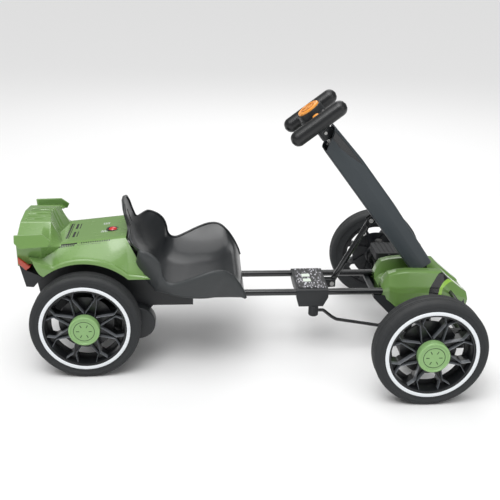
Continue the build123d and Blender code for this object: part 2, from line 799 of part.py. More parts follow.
strut_radius = 7.0
with BuildPart() as strut:
    strut_run = Vector(strut_top[0] - strut_foot[0], 0, strut_top[1] - strut_foot[1])
    heading = strut_run.normalized()
    tube_start = Vector(strut_foot[0], 0, strut_foot[1]) + heading * 22
    tube_end = Vector(strut_top[0], 0, strut_top[1]) - heading * 18
    rod(tuple(tube_start), tuple(tube_end), strut_radius)
    for centre, direction in ((strut_foot, 1), (strut_top, -1)):
        reach = Vector(heading.X, 0, heading.Z) * (24 * direction)
        normal = Vector(-heading.Z, 0, heading.X) * 6
        flat = [
            (centre[0] + normal.X, centre[1] + normal.Z),
            (centre[0] - normal.X, centre[1] - normal.Z),
            (centre[0] + reach.X - normal.X, centre[1] + reach.Z - normal.Z),
            (centre[0] + reach.X + normal.X, centre[1] + reach.Z + normal.Z),
        ]
        slab(flat, -ear_gap + seat_gap, ear_gap - seat_gap)
        post(*centre, 6, -ear_gap + seat_gap, ear_gap - seat_gap)
        post(*centre, pin_radius + seat_gap, -ear_half, ear_half, Mode.SUBTRACT)
save(strut, "column_strut")

bolt_head = 3.5
with BuildPart() as frame_bolts:
    for centre in (strut_foot, strut_top):
        post(*centre, pin_radius, -ear_half, ear_half)
        for head_low in (-ear_half - bolt_head, ear_half):
            post(*centre, 5.5, head_low, head_low + bolt_head)
save(frame_bolts, "strut_bolts")

cover_outline = [(-23.5, 4.0), (-23.5, 380.0), (23.5, 411.0), (31.0, 300.0), (31.5, 165.0), (24.0, -8.0)]
cover_room = [(-20.5, -4.0), (-20.5, 384.0), (20.5, 416.0), (28.0, 300.0), (28.5, 165.0), (21.0, -14.0)]
cover_edge = 3.0
panel_outline = [(-12.0, 400.0), (20.0, 412.0), (27.0, 300.0), (8.0, 282.0), (-2.0, 300.0)]
panel_depth = 1.5
for side, out in sides.items():
    with BuildPart() as cover:
        low, high = sorted((out * seat_gap / 2, out * cover_half))
        slab([column_point(s, w) for w, s in cover_outline], low, high)
        outer_edges = cover.faces().sort_by(Axis.Y)[0 if out < 0 else -1].edges()
        chamfer(outer_edges.sort_by(SortBy.LENGTH)[-4:], cover_edge)
        room_low, room_high = sorted((-out, out * (cover_half - column_wall)))
        slab([column_point(s, w) for w, s in cover_room], room_low, room_high, Mode.SUBTRACT)
        panel_low, panel_high = sorted((out * (cover_half - panel_depth), out * (cover_half + 1)))
        slab([column_point(s, w) for w, s in panel_outline], panel_low, panel_high, Mode.SUBTRACT)
        slab(column_block(lug_s - 13, lug_s + 13, -30, -10), -ear_half - 1, ear_half + 1, Mode.SUBTRACT)
    save(cover, f"column_cover_{side}")

with BuildPart() as column_panels:
    for out in sides.values():
        low, high = sorted((out * (cover_half - panel_depth + 0.05), out * cover_half))
        inset = [(-11.5, 399.0), (19.5, 411.0), (26.5, 300.3), (8.0, 282.8), (-1.4, 300.2)]
        slab([column_point(s, w) for w, s in inset], low, high)
save(column_panels, "column_panels")

# ================================================================ steering wheel
with BuildPart() as steering_shaft:
    column_bar(joint_s, joint_s + 15, 4.0)
    column_bar(joint_s + 14, horn_top - 16, steer_shaft_radius)
    with Locations((joint_centre[0], 0, joint_centre[1])):
        Sphere(ball_radius)
save(steering_shaft, "steering_shaft")

drum_low = 436.0
drum_top = 478.0
neck_low = 394.0
with BuildPart() as steering_hub:
    column_bar(drum_low, drum_top, hub_drum_radius)
    column_bar(neck_low, drum_low, 16.5)
    column_bar(drum_top - 10, drum_top + 1, horn_radius + sliding, Mode.SUBTRACT)
    column_bar(neck_low - 1, drum_top, steer_shaft_radius + seat_gap, Mode.SUBTRACT)
    neck_bolt = column_point(412.0)
    post(*neck_bolt, 4.0, -20, 20, Mode.SUBTRACT)
save(steering_hub, "steering_hub")

with BuildPart() as neck_screw:
    for low, high in ((-19.0, -8.5), (8.5, 19.0)):
        post(*neck_bolt, 3.8, low, high)
save(neck_screw, "neck_screws")

spoke_low = 448.0
spoke_high = 464.0
with BuildPart() as yoke:
    for out in sides.values():
        grip_ends = [column_point(wheel_height, -grip_half_length), column_point(wheel_height, grip_half_length)]
        ends = [(x, out * grip_half_gap, z) for x, z in grip_ends]
        rod(ends[0], ends[1], grip_radius)
        for end in ends:
            with Locations(end):
                Sphere(grip_radius)
    with BuildSketch(column_plane(spoke_low)):
        with Locations((-4, 0)):
            Rectangle(62, 2 * grip_half_gap)
    extrude(amount=spoke_high - spoke_low)
    column_bar(spoke_low - 1, spoke_high + 30, hub_drum_radius + seat_gap, Mode.SUBTRACT)
    for out in sides.values():
        column_bar(spoke_high - 7, spoke_high + 1, side_button_radius + sliding, Mode.SUBTRACT, 4.0, out * 44.0)
save(yoke, "steering_yoke")

with BuildPart() as horn:
    column_bar(drum_top - 10 + button_travel + 0.5, horn_top, horn_radius)
    column_bar(drum_top - 11, horn_top - 14, steer_shaft_radius + 2, Mode.SUBTRACT)
save(horn, "horn_button")

for side, out in sides.items():
    with BuildPart() as side_button:
        column_bar(spoke_high - 7 + button_travel + 0.3, spoke_high + 3, side_button_radius, w=4.0, y=out * 44.0)
    save(side_button, f"side_button_{side}")

# ================================================================ rear chassis, sleeves, axle
block_top = seat_floor - 0.5
block_low = 143.0
tub_low = 92.0
tub_top = 262.0


def deck_z(x):
    """Height of the sloping deck at a distance ahead of the rear axle."""
    return deck_tail_z + (x + 142.0) * (deck_nose_z - deck_tail_z) / 234.5


tub = rear(
    [
        (-107, 165),
        (-114, 209),
        (-95, 226),
        (-78, 229),
        (-68, tub_top),
        (60, tub_top),
        (118, 240),
        (146, 205),
        (158, block_top),
        (block_end, block_top),
        (block_end, block_low),
        (150, block_low),
        (130, 120),
        (60, tub_low),
        (-60, tub_low),
        (-100, 150),
    ]
)
tub_room = rear(
    [
        (-102, 168),
        (-109, 207),
        (-93, 222),
        (-76, 225),
        (-64, tub_top - tub_wall),
        (58, tub_top - tub_wall),
        (114, 236),
        (142, 203),
        (155, block_top - 4.5),
        (block_end - 7, block_top - 4.5),
        (block_end - 7, block_low + 4),
        (148, block_low + 4),
        (127, 123),
        (58, tub_low - 4),
        (-58, tub_low - 4),
        (-96, 152),
    ]
)
deck_boss_x = (-50.0, 50.0)
deck_boss_gap = 50.0
deck_boss_radius = 8.0
rail_bore = rail_radius + sliding
rail_boss_radius = rail_radius + 9.0
boss_end = rear_track / 2 - tyre_width / 2 - 0.5  # bosses reach out to the wheel hubs
rail_lines = [out * rail_half_gap for out in sides.values()]
with BuildPart() as rear_chassis:
    slab(tub, -tub_half_width, tub_half_width)
    slab(tub_room, -tub_half_width + tub_wall, tub_half_width - tub_wall, Mode.SUBTRACT)
    for out in sides.values():
        low, high = sorted((out * 62.0, out * tub_half_width))
        post(*rear_axle, 16, low, high)
    post(*rear_axle, 12, tub_half_width, boss_end)
    post(*rear_axle, axle_radius + seat_gap, -tub_half_width, boss_end, Mode.SUBTRACT)
    for line in rail_lines:
        start = (rear_axle_x + 148, line, rail_z)
        end = (rear_axle_x + block_end, line, rail_z)
        rod(start, end, rail_boss_radius)
        rod((rear_axle_x + rail_rear - 20, line, rail_z), end, rail_bore, Mode.SUBTRACT)
    # bosses that carry the deck
    for boss_x in deck_boss_x:
        boss_top = deck_z(boss_x - deck_boss_radius) - body_wall - 2 * sliding
        with BuildSketch(Plane.XY.offset(tub_top - tub_wall / 2)):
            with Locations(*[(rear_axle_x + boss_x, line) for line in (-deck_boss_gap, deck_boss_gap)]):
                Circle(deck_boss_radius)
        extrude(amount=boss_top - tub_top + tub_wall / 2)
save(rear_chassis, "rear_chassis")

with BuildPart() as sleeves:
    for out in sides.values():
        start = (rear_axle_x + block_end, out * rail_half_gap, rail_z)
        end = (rear_axle_x + sleeve_end, out * rail_half_gap, rail_z)
        rod(start, end, sleeve_radius)
        rod(start, end, rail_bore, Mode.SUBTRACT)
save(sleeves, "rail_sleeves")

with BuildPart() as rear_axle_bar:
    reach = rear_track / 2 + tyre_width / 2 + cap_proud - cap_depth - 1
    post(*rear_axle, axle_radius, -reach, reach)
save(rear_axle_bar, "rear_axle")

case_nose = (rear_axle_x + 115.5, 110.0)
with BuildPart() as gear_case:
    for radius_axle, radius_nose, low, high, mode in (
        (34, 40, -case_outer, -case_inner, Mode.ADD),
        (31, 37, -case_outer + 3, -case_inner - 3, Mode.SUBTRACT),
    ):
        with BuildSketch(side_plane(high)) as teardrop:
            with Locations(rear_axle):
                Circle(radius_axle)
            with Locations(case_nose):
                Circle(radius_nose)
            make_hull()
        extrude(teardrop.sketch, amount=high - low, mode=mode)
    fillet(gear_case.edges().group_by(Axis.Y)[0], 5.0)
    post(*rear_axle, 12, -boss_end, -case_inner)
    post(*rear_axle, axle_radius + seat_gap, -boss_end, -case_inner, Mode.SUBTRACT)
save(gear_case, "gear_case")

# ================================================================ rear body, spoiler, lamps, bumper
def body_block(inset):
    """Deck and slanted flanks: a side outline crossed with an end-on outline."""
    outline = [
        (-142.0 + inset, deck_z(-142.0) - inset),
        (92.5 - inset, deck_nose_z - inset),
        (151.5 - inset, 230.0 - 3 * inset),
        (-88.0 - inset, 230.0 - 3 * inset),
        (-88.0 + inset / 2, 238.0),
    ]
    slope_top = deck_half_width - 16.0 - inset
    with BuildPart() as block:
        slab(rear(outline), -body_half_width + inset, body_half_width - inset)
        with BuildSketch(Plane.YZ.offset(rear_axle_x - 200)):
            Polygon(
                (-body_half_width + inset, 200),
                (-body_half_width + inset, 262 - inset),
                (-slope_top, 327 - inset),
                (slope_top, 327 - inset),
                (body_half_width - inset, 262 - inset),
                (body_half_width - inset, 200),
                align=None,
            )
        extrude(amount=400, mode=Mode.INTERSECT)
    return block.part


body_outer = body_block(0)
body_inner = body_block(body_wall)
button_x = rear_axle_x + deck_button_at[0]
with BuildPart() as rear_body:
    add(body_outer)
    add(body_inner, mode=Mode.SUBTRACT)
    post(*rear_axle, arch_radius, -body_half_width - 1, -tub_half_width - 1, Mode.SUBTRACT)
    post(*rear_axle, arch_radius, tub_half_width + 1, body_half_width + 1, Mode.SUBTRACT)
    with BuildSketch(Plane.XY.offset(290.0)):
        with Locations((button_x, deck_button_at[1])):
            Circle(deck_button_radius + sliding)
    extrude(amount=30.0, mode=Mode.SUBTRACT)
save(rear_body, "rear_body")

with BuildPart() as deck_button:
    button_base = deck_z(deck_button_at[0]) - body_wall - 4
    with BuildSketch(Plane.XY.offset(button_base)):
        with Locations((button_x, deck_button_at[1])):
            Circle(deck_button_radius)
    extrude(amount=13.0)
    fillet(deck_button.edges().group_by(Axis.Z)[-1], 4.0)
save(deck_button, "deck_button")

hood_half = 133.0


def hood_section(inset):
    """End-on outline of the hood, highest in the middle."""
    half = [(hood_half - inset, 260), (hood_half - inset, 318 - inset), (62 - inset / 2, 344 - inset)]
    mirrored = [(-y, z) for y, z in reversed(half)]
    return [*half, (0, 352 - inset), *mirrored]


with BuildPart() as spoiler:
    hood = rear([(-144, deck_z(-144)), (-144, 352), (-72, 354), (-42, deck_z(-42))])
    slab(hood, -hood_half, hood_half)
    with BuildSketch(Plane.YZ.offset(rear_axle_x - 200)):
        Polygon(*hood_section(0), align=None)
    extrude(amount=400, mode=Mode.INTERSECT)
    with BuildSketch(Plane.YZ.offset(rear_axle_x - 200)) as room_section:
        Polygon(*hood_section(body_wall), align=None)
    room_across = extrude(room_section.sketch, amount=400, mode=Mode.PRIVATE)
    with BuildSketch(side_plane(hood_half)) as room_side:
        Polygon(*rear([(-141, 240), (-141, 360), (-74, 351), (-46, deck_z(-46)), (-46, 240)]), align=None)
    room_along = extrude(room_side.sketch, amount=2 * hood_half, mode=Mode.PRIVATE)
    add(room_across & room_along, mode=Mode.SUBTRACT)
    for out in sides.values():
        wing_side = rear([(-145, 338), (-81, 341), (-62, 325), (-70, 311), (-132, 309)])
        low, high = sorted((out * 100.0, out * 150.0))
        with BuildSketch(Plane.YZ.offset(rear_axle_x - 145)) as wing:
            Polygon((out * 117, 345), (out * 123, 345), (out * 148, 305), (out * 140, 305), align=None)
        wing_plate = extrude(wing.sketch, amount=90, mode=Mode.PRIVATE)
        with BuildSketch(side_plane(high)) as trim:
            Polygon(*wing_side, align=None)
        wing_window = extrude(trim.sketch, amount=high - low, mode=Mode.PRIVATE)
        add(wing_plate & wing_window)
    # room for the body under the hood
    with BuildSketch(Plane.YZ.offset(rear_axle_x - 200)) as under:
        Polygon(
            (-body_half_width - 0.2, 200),
            (-body_half_width - 0.2, 262.2),
            (-deck_half_width + 15.8, 327.2),
            (deck_half_width - 15.8, 327.2),
            (body_half_width + 0.2, 262.2),
            (body_half_width + 0.2, 200),
            align=None,
        )
    below_deck = extrude(under.sketch, amount=400, mode=Mode.PRIVATE)
    with BuildSketch(side_plane(body_half_width)) as deck_line:
        Polygon(*rear([(-150, deck_z(-150) + 0.2), (100, deck_z(100) + 0.2), (100, 200), (-150, 200)]), align=None)
    below_line = extrude(deck_line.sketch, amount=2 * body_half_width, mode=Mode.PRIVATE)
    add(below_deck & below_line, mode=Mode.SUBTRACT)
save(spoiler, "spoiler")

with BuildPart() as tail_lamps:
    for out in sides.values():
        low, high = sorted((out * 88.0, out * 125.0))
        slab(rear([(-143, 284.0), (-116, 260.5), (-127, 252), (-143, 268)]), low, high)
save(tail_lamps, "tail_lamps")

with BuildPart() as bumper:
    slab(rear([(-143, 267), (-127, 250.5), (-92.5, 234), (-114.5, 209.5), (-131, 211)]), -120, 120)
    slab(rear([(-128, 255), (-125, 246), (-98, 232), (-116, 214), (-126, 215)]), -116, 116, Mode.SUBTRACT)
save(bumper, "rear_bumper")

# ================================================================ seat
seat_edge = [
    (104, 300), (128.5, 304), (149.5, 294), (166.5, 280), (174, 257), (182, 238), (198.5, 228), (225, 236),
    (256.5, 250), (286.5, 261), (310.5, 261), (328.5, 245), (345.5, 221), (360, 192), (362, seat_floor),
]
seat_back = [(172, seat_floor), (157, 232), (106, 306)]
seat_room = [
    (111, 330), (162, 234), (180, 196), (195, 189), (240, 189), (300, 196), (330, 210), (340, 222), (340, 300),
]
seat_under = [
    (250, seat_floor - 1), (250, 184.5), (300, 191.5), (330, 205), (341, 217), (356, 191), (357, seat_floor - 1),
]
with BuildPart() as seat:
    slab(rear(seat_edge + seat_back[:2]), -seat_half_width, seat_half_width)
    slab(rear([(104, 298), (84, 387), (92, 388), (116, 318), (112, 299)]), -headrest_half_width, headrest_half_width)
    slab(rear(seat_room), -seat_half_width + seat_wall, seat_half_width - seat_wall, Mode.SUBTRACT)
    slab(rear(seat_under), -seat_half_width + seat_wall, seat_half_width - seat_wall, Mode.SUBTRACT)
    for out in sides.values():
        with BuildSketch(Plane.YZ.offset(rear_axle_x + 60)):
            with Locations((out * 14, 345)):
                SlotCenterToCenter(26, 9, rotation=90)
        extrude(amount=80, mode=Mode.SUBTRACT)
save(seat, "seat_shell")
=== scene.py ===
"""Child's pedal kart dressed for display over its mechanical frame.

Metres throughout: +X forwards, +Y to the driver's left, +Z up, ground at zero. Every new piece is
a surface worked out as whole numpy arrays, in place, and rides on the body of the part it covers.
"""

import logging
import math
from dataclasses import dataclass, field
from enum import Enum
from typing import Union

import bmesh
import bpy
import numpy as np
from mathutils import Matrix, Vector


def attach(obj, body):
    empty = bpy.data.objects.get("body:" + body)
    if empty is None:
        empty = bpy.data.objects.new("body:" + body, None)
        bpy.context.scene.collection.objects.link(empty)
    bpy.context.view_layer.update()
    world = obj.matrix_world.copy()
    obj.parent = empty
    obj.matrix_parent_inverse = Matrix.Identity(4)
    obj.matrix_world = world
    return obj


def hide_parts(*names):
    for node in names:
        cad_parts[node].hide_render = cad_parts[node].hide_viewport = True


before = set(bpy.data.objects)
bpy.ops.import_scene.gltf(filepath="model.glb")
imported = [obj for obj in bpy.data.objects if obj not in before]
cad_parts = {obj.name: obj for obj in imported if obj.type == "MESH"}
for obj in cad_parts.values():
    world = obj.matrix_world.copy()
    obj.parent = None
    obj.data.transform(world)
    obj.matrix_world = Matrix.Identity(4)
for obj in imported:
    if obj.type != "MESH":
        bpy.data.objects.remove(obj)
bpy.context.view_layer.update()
log = logging.getLogger("kart")

MM = 1000.0  # millimetres in a metre
REAR_X = -0.38425  # rear axle
FRONT_X = 0.37075  # front axle
AXLE_Z = 0.125
ACROSS = np.array([0.0, 1.0, 0.0])
UP = np.array([0.0, 0.0, 1.0])
OTHER_SIDE = np.array([1, -1, 1])
MERGE = 1e-6  # points closer than this are one
MERGE_CAD = 2e-6
FLAT = math.radians(1.0)  # faces that meet within this angle are rejoined
BEVELLED_SHARP = math.radians(80.0)  # angle kept sharp on a piece with rounded edges


class Side(Enum):
    """Which side of the kart a piece is on; the value is the sign of its Y."""

    RIGHT = -1
    LEFT = 1


class Shade(Enum):
    """How a piece's surface is smoothed: the value is the angle kept sharp, in degrees."""

    SOFT = 60.0
    CREASED = 30.0


# ------------------------------------------------------------------ surfaces
@dataclass
class Surface:
    """Points and faces held as arrays until they become a mesh."""

    points: np.ndarray
    faces: list = field(default_factory=list)

    def __add__(self, other: "Surface") -> "Surface":
        """Joins two surfaces into one list of points and faces.

        Args:
            other: Surface put after this one.

        Returns:
            Both as one surface.
        """
        shift = len(self.points)
        moved = [tuple(i + shift for i in f) for f in other.faces]
        return Surface(np.vstack([self.points, other.points]), self.faces + moved)

    @classmethod
    def empty(cls) -> "Surface":
        """A surface with nothing in it yet."""
        return cls(np.zeros((0, 3)))


def grid(points: np.ndarray, wrap: bool = False, ring: bool = False) -> Surface:
    """Quads over a grid of points.

    Args:
        points: Array of rows x columns x 3; row i, column j is the point P(u_i, v_j).
        wrap: Columns close on themselves, as round a tube.
        ring: Rows close on themselves, as round a hoop.

    Returns:
        The grid as a surface.
    """
    rows, columns = points.shape[:2]
    last_row = rows if ring else rows - 1
    last_column = columns if wrap else columns - 1
    i, j = np.meshgrid(np.arange(last_row), np.arange(last_column), indexing="ij")
    i, j = i.ravel(), j.ravel()
    i2, j2 = (i + 1) % rows, (j + 1) % columns
    quads = np.stack([i * columns + j, i2 * columns + j, i2 * columns + j2, i * columns + j2], axis=1)
    return Surface(points.reshape(-1, 3), [tuple(q) for q in quads.tolist()])


def tube(points: np.ndarray) -> Surface:
    """A closed-section tube over a grid, with a flat face over each end.

    Args:
        points: Array of sections x points round a section x 3.

    Returns:
        The closed tube.
    """
    body = grid(points, wrap=True)
    rows, columns = points.shape[:2]
    start = tuple(range(columns))
    end = tuple(range((rows - 1) * columns, rows * columns))
    body.faces += [start, end[::-1]]
    return body


def resample(knots: np.ndarray, count: int) -> np.ndarray:
    """Points evenly spaced by length along a polyline of knots.

    Args:
        knots: Corners of the polyline, one row each.
        count: How many points.

    Returns:
        The points, one row each.
    """
    steps = np.r_[0, np.cumsum(np.linalg.norm(np.diff(knots, axis=0), axis=1))]
    at = np.linspace(0, steps[-1], count)
    return np.stack([np.interp(at, steps, knots[:, k]) for k in range(knots.shape[1])], axis=1)


def eased(knots: np.ndarray, count: int) -> np.ndarray:
    """Points on the smooth curve through knots: a Catmull-Rom blend of the four nearest knots.

    Args:
        knots: Points the curve passes through, one row each.
        count: How many points.

    Returns:
        The points, one row each.
    """
    p = np.vstack([2 * knots[0] - knots[1], knots, 2 * knots[-1] - knots[-2]])
    t = np.linspace(0, len(knots) - 1 - 1e-9, count)
    k = t.astype(int)
    f = (t - k)[:, None]
    a, b, c, d = p[k], p[k + 1], p[k + 2], p[k + 3]
    return 0.5 * (2 * b + (c - a) * f + (2 * a - 5 * b + 4 * c - d) * f**2 + (3 * b - a - 3 * c + d) * f**3)


def lathe(profile: np.ndarray, centre: tuple, out: int, count: int = 128) -> Surface:
    """Turned piece about an axle across the kart; its profile closes on itself.

    A profile point (r, a) becomes centre + r (cos t, 0, sin t) + a (0, out, 0) for t round the circle.

    Args:
        profile: Points (radius, distance outwards along the axle).
        centre: Point on the axle.
        out: +1 for the left side, -1 for the right.
        count: Steps round the circle.

    Returns:
        The turned surface.
    """
    t = np.linspace(0, 2 * np.pi, count, endpoint=False)
    r, a = profile[:, 0], profile[:, 1]
    x = centre[0] + np.cos(t)[:, None] * r
    z = centre[2] + np.sin(t)[:, None] * r
    y = centre[1] + out * np.broadcast_to(a, x.shape)
    return grid(np.stack([x, y, z], axis=2), wrap=True, ring=True)


def spun(profile: np.ndarray, base: np.ndarray, axis: np.ndarray, count: int = 96) -> Surface:
    """Turned piece about any axis: point (r, a) becomes base + a axis + r (cos t e1 + sin t e2).

    Args:
        profile: Points (radius, distance along the axis).
        base: Point on the axis.
        axis: Unit direction of the axis.
        count: Steps round the circle.

    Returns:
        The turned surface.
    """
    e1 = np.cross(axis, ACROSS)
    e1 = e1 / np.linalg.norm(e1)
    e2 = np.cross(axis, e1)
    t = np.linspace(0, 2 * np.pi, count, endpoint=False)[:, None, None]
    r, a = profile[None, :, :1], profile[None, :, 1:]
    return grid(base + a * axis + r * (np.cos(t) * e1 + np.sin(t) * e2), ring=True)


def bar(
    path: np.ndarray,
    half_wide: float,
    half_high: float,
    up: np.ndarray,
    power: float = 2.0,
    count: int = 12,
) -> Surface:
    """Rounded bar along a path.

    The section is |x/w|^n + |y/h|^n = 1 (n is power; 2 is an ellipse), carried square to the path.

    Args:
        path: Points along the middle, one row each.
        half_wide: Half width of the section.
        half_high: Half height of the section.
        up: Direction that the section's height leans towards.
        power: Squareness of the section.
        count: Points round the section.

    Returns:
        The closed bar.
    """
    along = np.gradient(path, axis=0)
    along /= np.linalg.norm(along, axis=1, keepdims=True)
    side = np.cross(along, up)
    side /= np.linalg.norm(side, axis=1, keepdims=True)
    top = np.cross(side, along)
    t = np.linspace(0, 2 * np.pi, count, endpoint=False)
    u = np.sign(np.cos(t)) * np.abs(np.cos(t)) ** (2 / power) * half_wide
    v = np.sign(np.sin(t)) * np.abs(np.sin(t)) ** (2 / power) * half_high
    points = path[:, None] + side[:, None] * u[None, :, None] + top[:, None] * v[None, :, None]
    return tube(points)


def prism(outline: np.ndarray, low: np.ndarray, high: np.ndarray) -> Surface:
    """Flat outline joined to the same outline moved: faces over both ends and round the edge.

    Args:
        outline: Corners of the outline, one row each.
        low: Move to the first end.
        high: Move to the second end.

    Returns:
        The closed prism.
    """
    return tube(np.stack([outline + low, outline + high]))


@dataclass(frozen=True)
class Edge:
    """Rounding given to a piece's sharp edges."""

    width: float = 0.0
    steps: int = 3
    angle: float = 30.0


def make(
    name: str,
    surface: Surface,
    body: str,
    finish: "Finish",
    covers: tuple = (),
    edge: Edge = Edge(),
    wall: float = 0.0,
    shade: Shade = Shade.CREASED,
) -> None:
    """Turns a surface into a dressed piece that rides on a body.

    Args:
        name: Piece name.
        surface: Points and faces.
        body: Body that it moves with.
        finish: Its finish.
        covers: CAD nodes it stands for.
        edge: Rounding of sharp edges.
        wall: Thickness given to an open sheet, inwards.
        shade: How it is smoothed.
    """
    mesh = bpy.data.meshes.new(name)
    mesh.from_pydata(surface.points.tolist(), [], surface.faces)
    mesh.validate()
    piece = bpy.data.objects.new(name, mesh)
    bpy.context.scene.collection.objects.link(piece)
    tidy(mesh, wall == 0.0)
    dress(piece, body, finish, edge, wall, shade)
    if covers:
        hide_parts(*covers)
    log.info("%s: %d points, %d faces", name, len(mesh.vertices), len(mesh.polygons))


def tidy(mesh: bpy.types.Mesh, turn: bool) -> None:
    """Merges doubled points and, on a closed piece, turns every face outwards.

    Args:
        mesh: Mesh of the piece.
        turn: The piece is closed, so its faces can be turned.
    """
    work = bmesh.new()
    work.from_mesh(mesh)
    bmesh.ops.remove_doubles(work, verts=work.verts, dist=MERGE)
    if turn:
        bmesh.ops.recalc_face_normals(work, faces=work.faces)
    work.to_mesh(mesh)
    work.free()


def dress(
    piece: bpy.types.Object,
    body: str,
    finish: "Finish",
    edge: Edge,
    wall: float,
    shade: Shade,
) -> None:
    """Adds wall, rounding, smoothing and finish to a piece, and sets it on its body.

    Args:
        piece: The new object.
        body: Body that it moves with.
        finish: Its finish.
        edge: Rounding of sharp edges.
        wall: Thickness given to an open sheet, inwards; 0 for none.
        shade: How it is smoothed where no edge is rounded.
    """
    if wall:
        solid = piece.modifiers.new("wall", "SOLIDIFY")
        solid.thickness = wall
        solid.offset = -1.0
        solid.use_even_offset = False
    if edge.width:
        rounding = piece.modifiers.new("edges", "BEVEL")
        rounding.width = edge.width
        rounding.segments = edge.steps
        rounding.limit_method = "ANGLE"
        rounding.angle_limit = math.radians(edge.angle)
        rounding.harden_normals = True
    piece.data.shade_smooth()
    piece.data.set_sharp_from_angle(angle=BEVELLED_SHARP if edge.width else math.radians(shade.value))
    piece.data.materials.append(finish.material())
    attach(piece, body)


def refine(node: str, body: str, finish: "Finish", edge: Edge = Edge()) -> None:
    """Cleaned copy of a CAD part with flat faces rejoined and edges rounded.

    Args:
        node: CAD node that is copied and replaced.
        body: Body that it moves with.
        finish: Its finish.
        edge: Rounding of sharp edges.
    """
    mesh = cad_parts[node].data.copy()
    mesh.materials.clear()
    work = bmesh.new()
    work.from_mesh(mesh)
    bmesh.ops.remove_doubles(work, verts=work.verts, dist=MERGE_CAD)
    bmesh.ops.dissolve_limit(work, angle_limit=FLAT, verts=work.verts, edges=work.edges)
    work.to_mesh(mesh)
    work.free()
    if mesh.has_custom_normals:
        mesh.normals_split_custom_set([(0.0, 0.0, 0.0)] * len(mesh.loops))
    piece = bpy.data.objects.new(f"{node}_finished", mesh)
    bpy.context.scene.collection.objects.link(piece)
    dress(piece, body, finish, edge, 0.0, Shade.CREASED)
    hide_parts(node)
    log.info("%s: refined", node)


# ------------------------------------------------------------------ finishes
Operand = Union[bpy.types.NodeSocket, float]
Tone = Union[bpy.types.NodeSocket, tuple]


def new_group(name: str, inputs: dict, outputs: dict) -> tuple:
    """An empty node group with named sockets, and its two end nodes.

    Args:
        name: Group name.
        inputs: Input name to default value, a number or a vector.
        outputs: Output name to socket type.

    Returns:
        The group, its input node and its output node.
    """
    group = bpy.data.node_groups.new(name, "ShaderNodeTree")
    for label, value in inputs.items():
        kind = "NodeSocketVector" if isinstance(value, tuple) else "NodeSocketFloat"
        group.interface.new_socket(label, in_out="INPUT", socket_type=kind).default_value = value
    for label, kind in outputs.items():
        group.interface.new_socket(label, in_out="OUTPUT", socket_type=kind)
    return group, group.nodes.new("NodeGroupInput"), group.nodes.new("NodeGroupOutput")


def maths(
    tree: bpy.types.NodeTree,
    operation: str,
    first: Operand,
    second: Operand = 0.0,
    clamp: bool = False,
) -> bpy.types.NodeSocket:
    """A Math node's output.

    Args:
        tree: Node tree that gets the node.
        operation: Blender's name of the operation.
        first: Socket or number.
        second: Socket or number.
        clamp: Keeps the result between 0 and 1.

    Returns:
        The output socket.
    """
    node = tree.nodes.new("ShaderNodeMath")
    node.operation = operation
    node.use_clamp = clamp
    for socket, value in zip(node.inputs, (first, second)):
        if isinstance(value, bpy.types.NodeSocket):
            tree.links.new(value, socket)
        else:
            socket.default_value = value
    return node.outputs[0]


def grain_group() -> bpy.types.NodeTree:
    """Moulded-plastic grain: fine noise for height, broad noise for mottling, stretched noise for rubbing.

    Returns:
        The group, made the first time it is asked for.
    """
    if "Grain" in bpy.data.node_groups:
        return bpy.data.node_groups["Grain"]
    group, start, end = new_group(
        "Grain",
        {"Fine": 900.0, "Broad": 14.0},
        {"Height": "NodeSocketFloat", "Mottle": "NodeSocketFloat", "Rub": "NodeSocketFloat"},
    )
    place = group.nodes.new("ShaderNodeTexCoord").outputs["Object"]
    for label, source, detail in (("Height", "Fine", 2.0), ("Mottle", "Broad", 5.0)):
        noise = group.nodes.new("ShaderNodeTexNoise")
        noise.inputs["Detail"].default_value = detail
        group.links.new(place, noise.inputs["Vector"])
        group.links.new(start.outputs[source], noise.inputs["Scale"])
        group.links.new(noise.outputs["Fac"], end.inputs[label])
    stretch = group.nodes.new("ShaderNodeMapping")
    stretch.inputs["Scale"].default_value = (35.0, 90.0, 120.0)
    stretch.inputs["Rotation"].default_value = (0.2, 0.5, 0.3)
    group.links.new(place, stretch.inputs["Vector"])
    rub = group.nodes.new("ShaderNodeTexNoise")
    rub.inputs["Scale"].default_value = 1.0
    rub.inputs["Detail"].default_value = 3.0
    group.links.new(stretch.outputs[0], rub.inputs["Vector"])
    group.links.new(maths(group, "POWER", rub.outputs["Fac"], 6.0, True), end.inputs["Rub"])
    return group


def dust_group() -> bpy.types.NodeTree:
    """Dust mask: faces that look up, broken by noise.

    Returns:
        The group, made the first time it is asked for.
    """
    if "Dust" in bpy.data.node_groups:
        return bpy.data.node_groups["Dust"]
    group, start, end = new_group("Dust", {"Amount": 0.2}, {"Mask": "NodeSocketFloat"})
    shape = group.nodes.new("ShaderNodeNewGeometry")
    split = group.nodes.new("ShaderNodeSeparateXYZ")
    group.links.new(shape.outputs["Normal"], split.inputs[0])
    noise = group.nodes.new("ShaderNodeTexNoise")
    noise.inputs["Scale"].default_value = 60.0
    noise.inputs["Detail"].default_value = 8.0
    group.links.new(group.nodes.new("ShaderNodeTexCoord").outputs["Object"], noise.inputs["Vector"])
    up = maths(group, "MAXIMUM", split.outputs["Z"], 0.0)
    broken = maths(group, "MULTIPLY", up, noise.outputs["Fac"])
    mask = maths(group, "MULTIPLY", broken, start.outputs["Amount"])
    group.links.new(mask, end.inputs["Mask"])
    return group


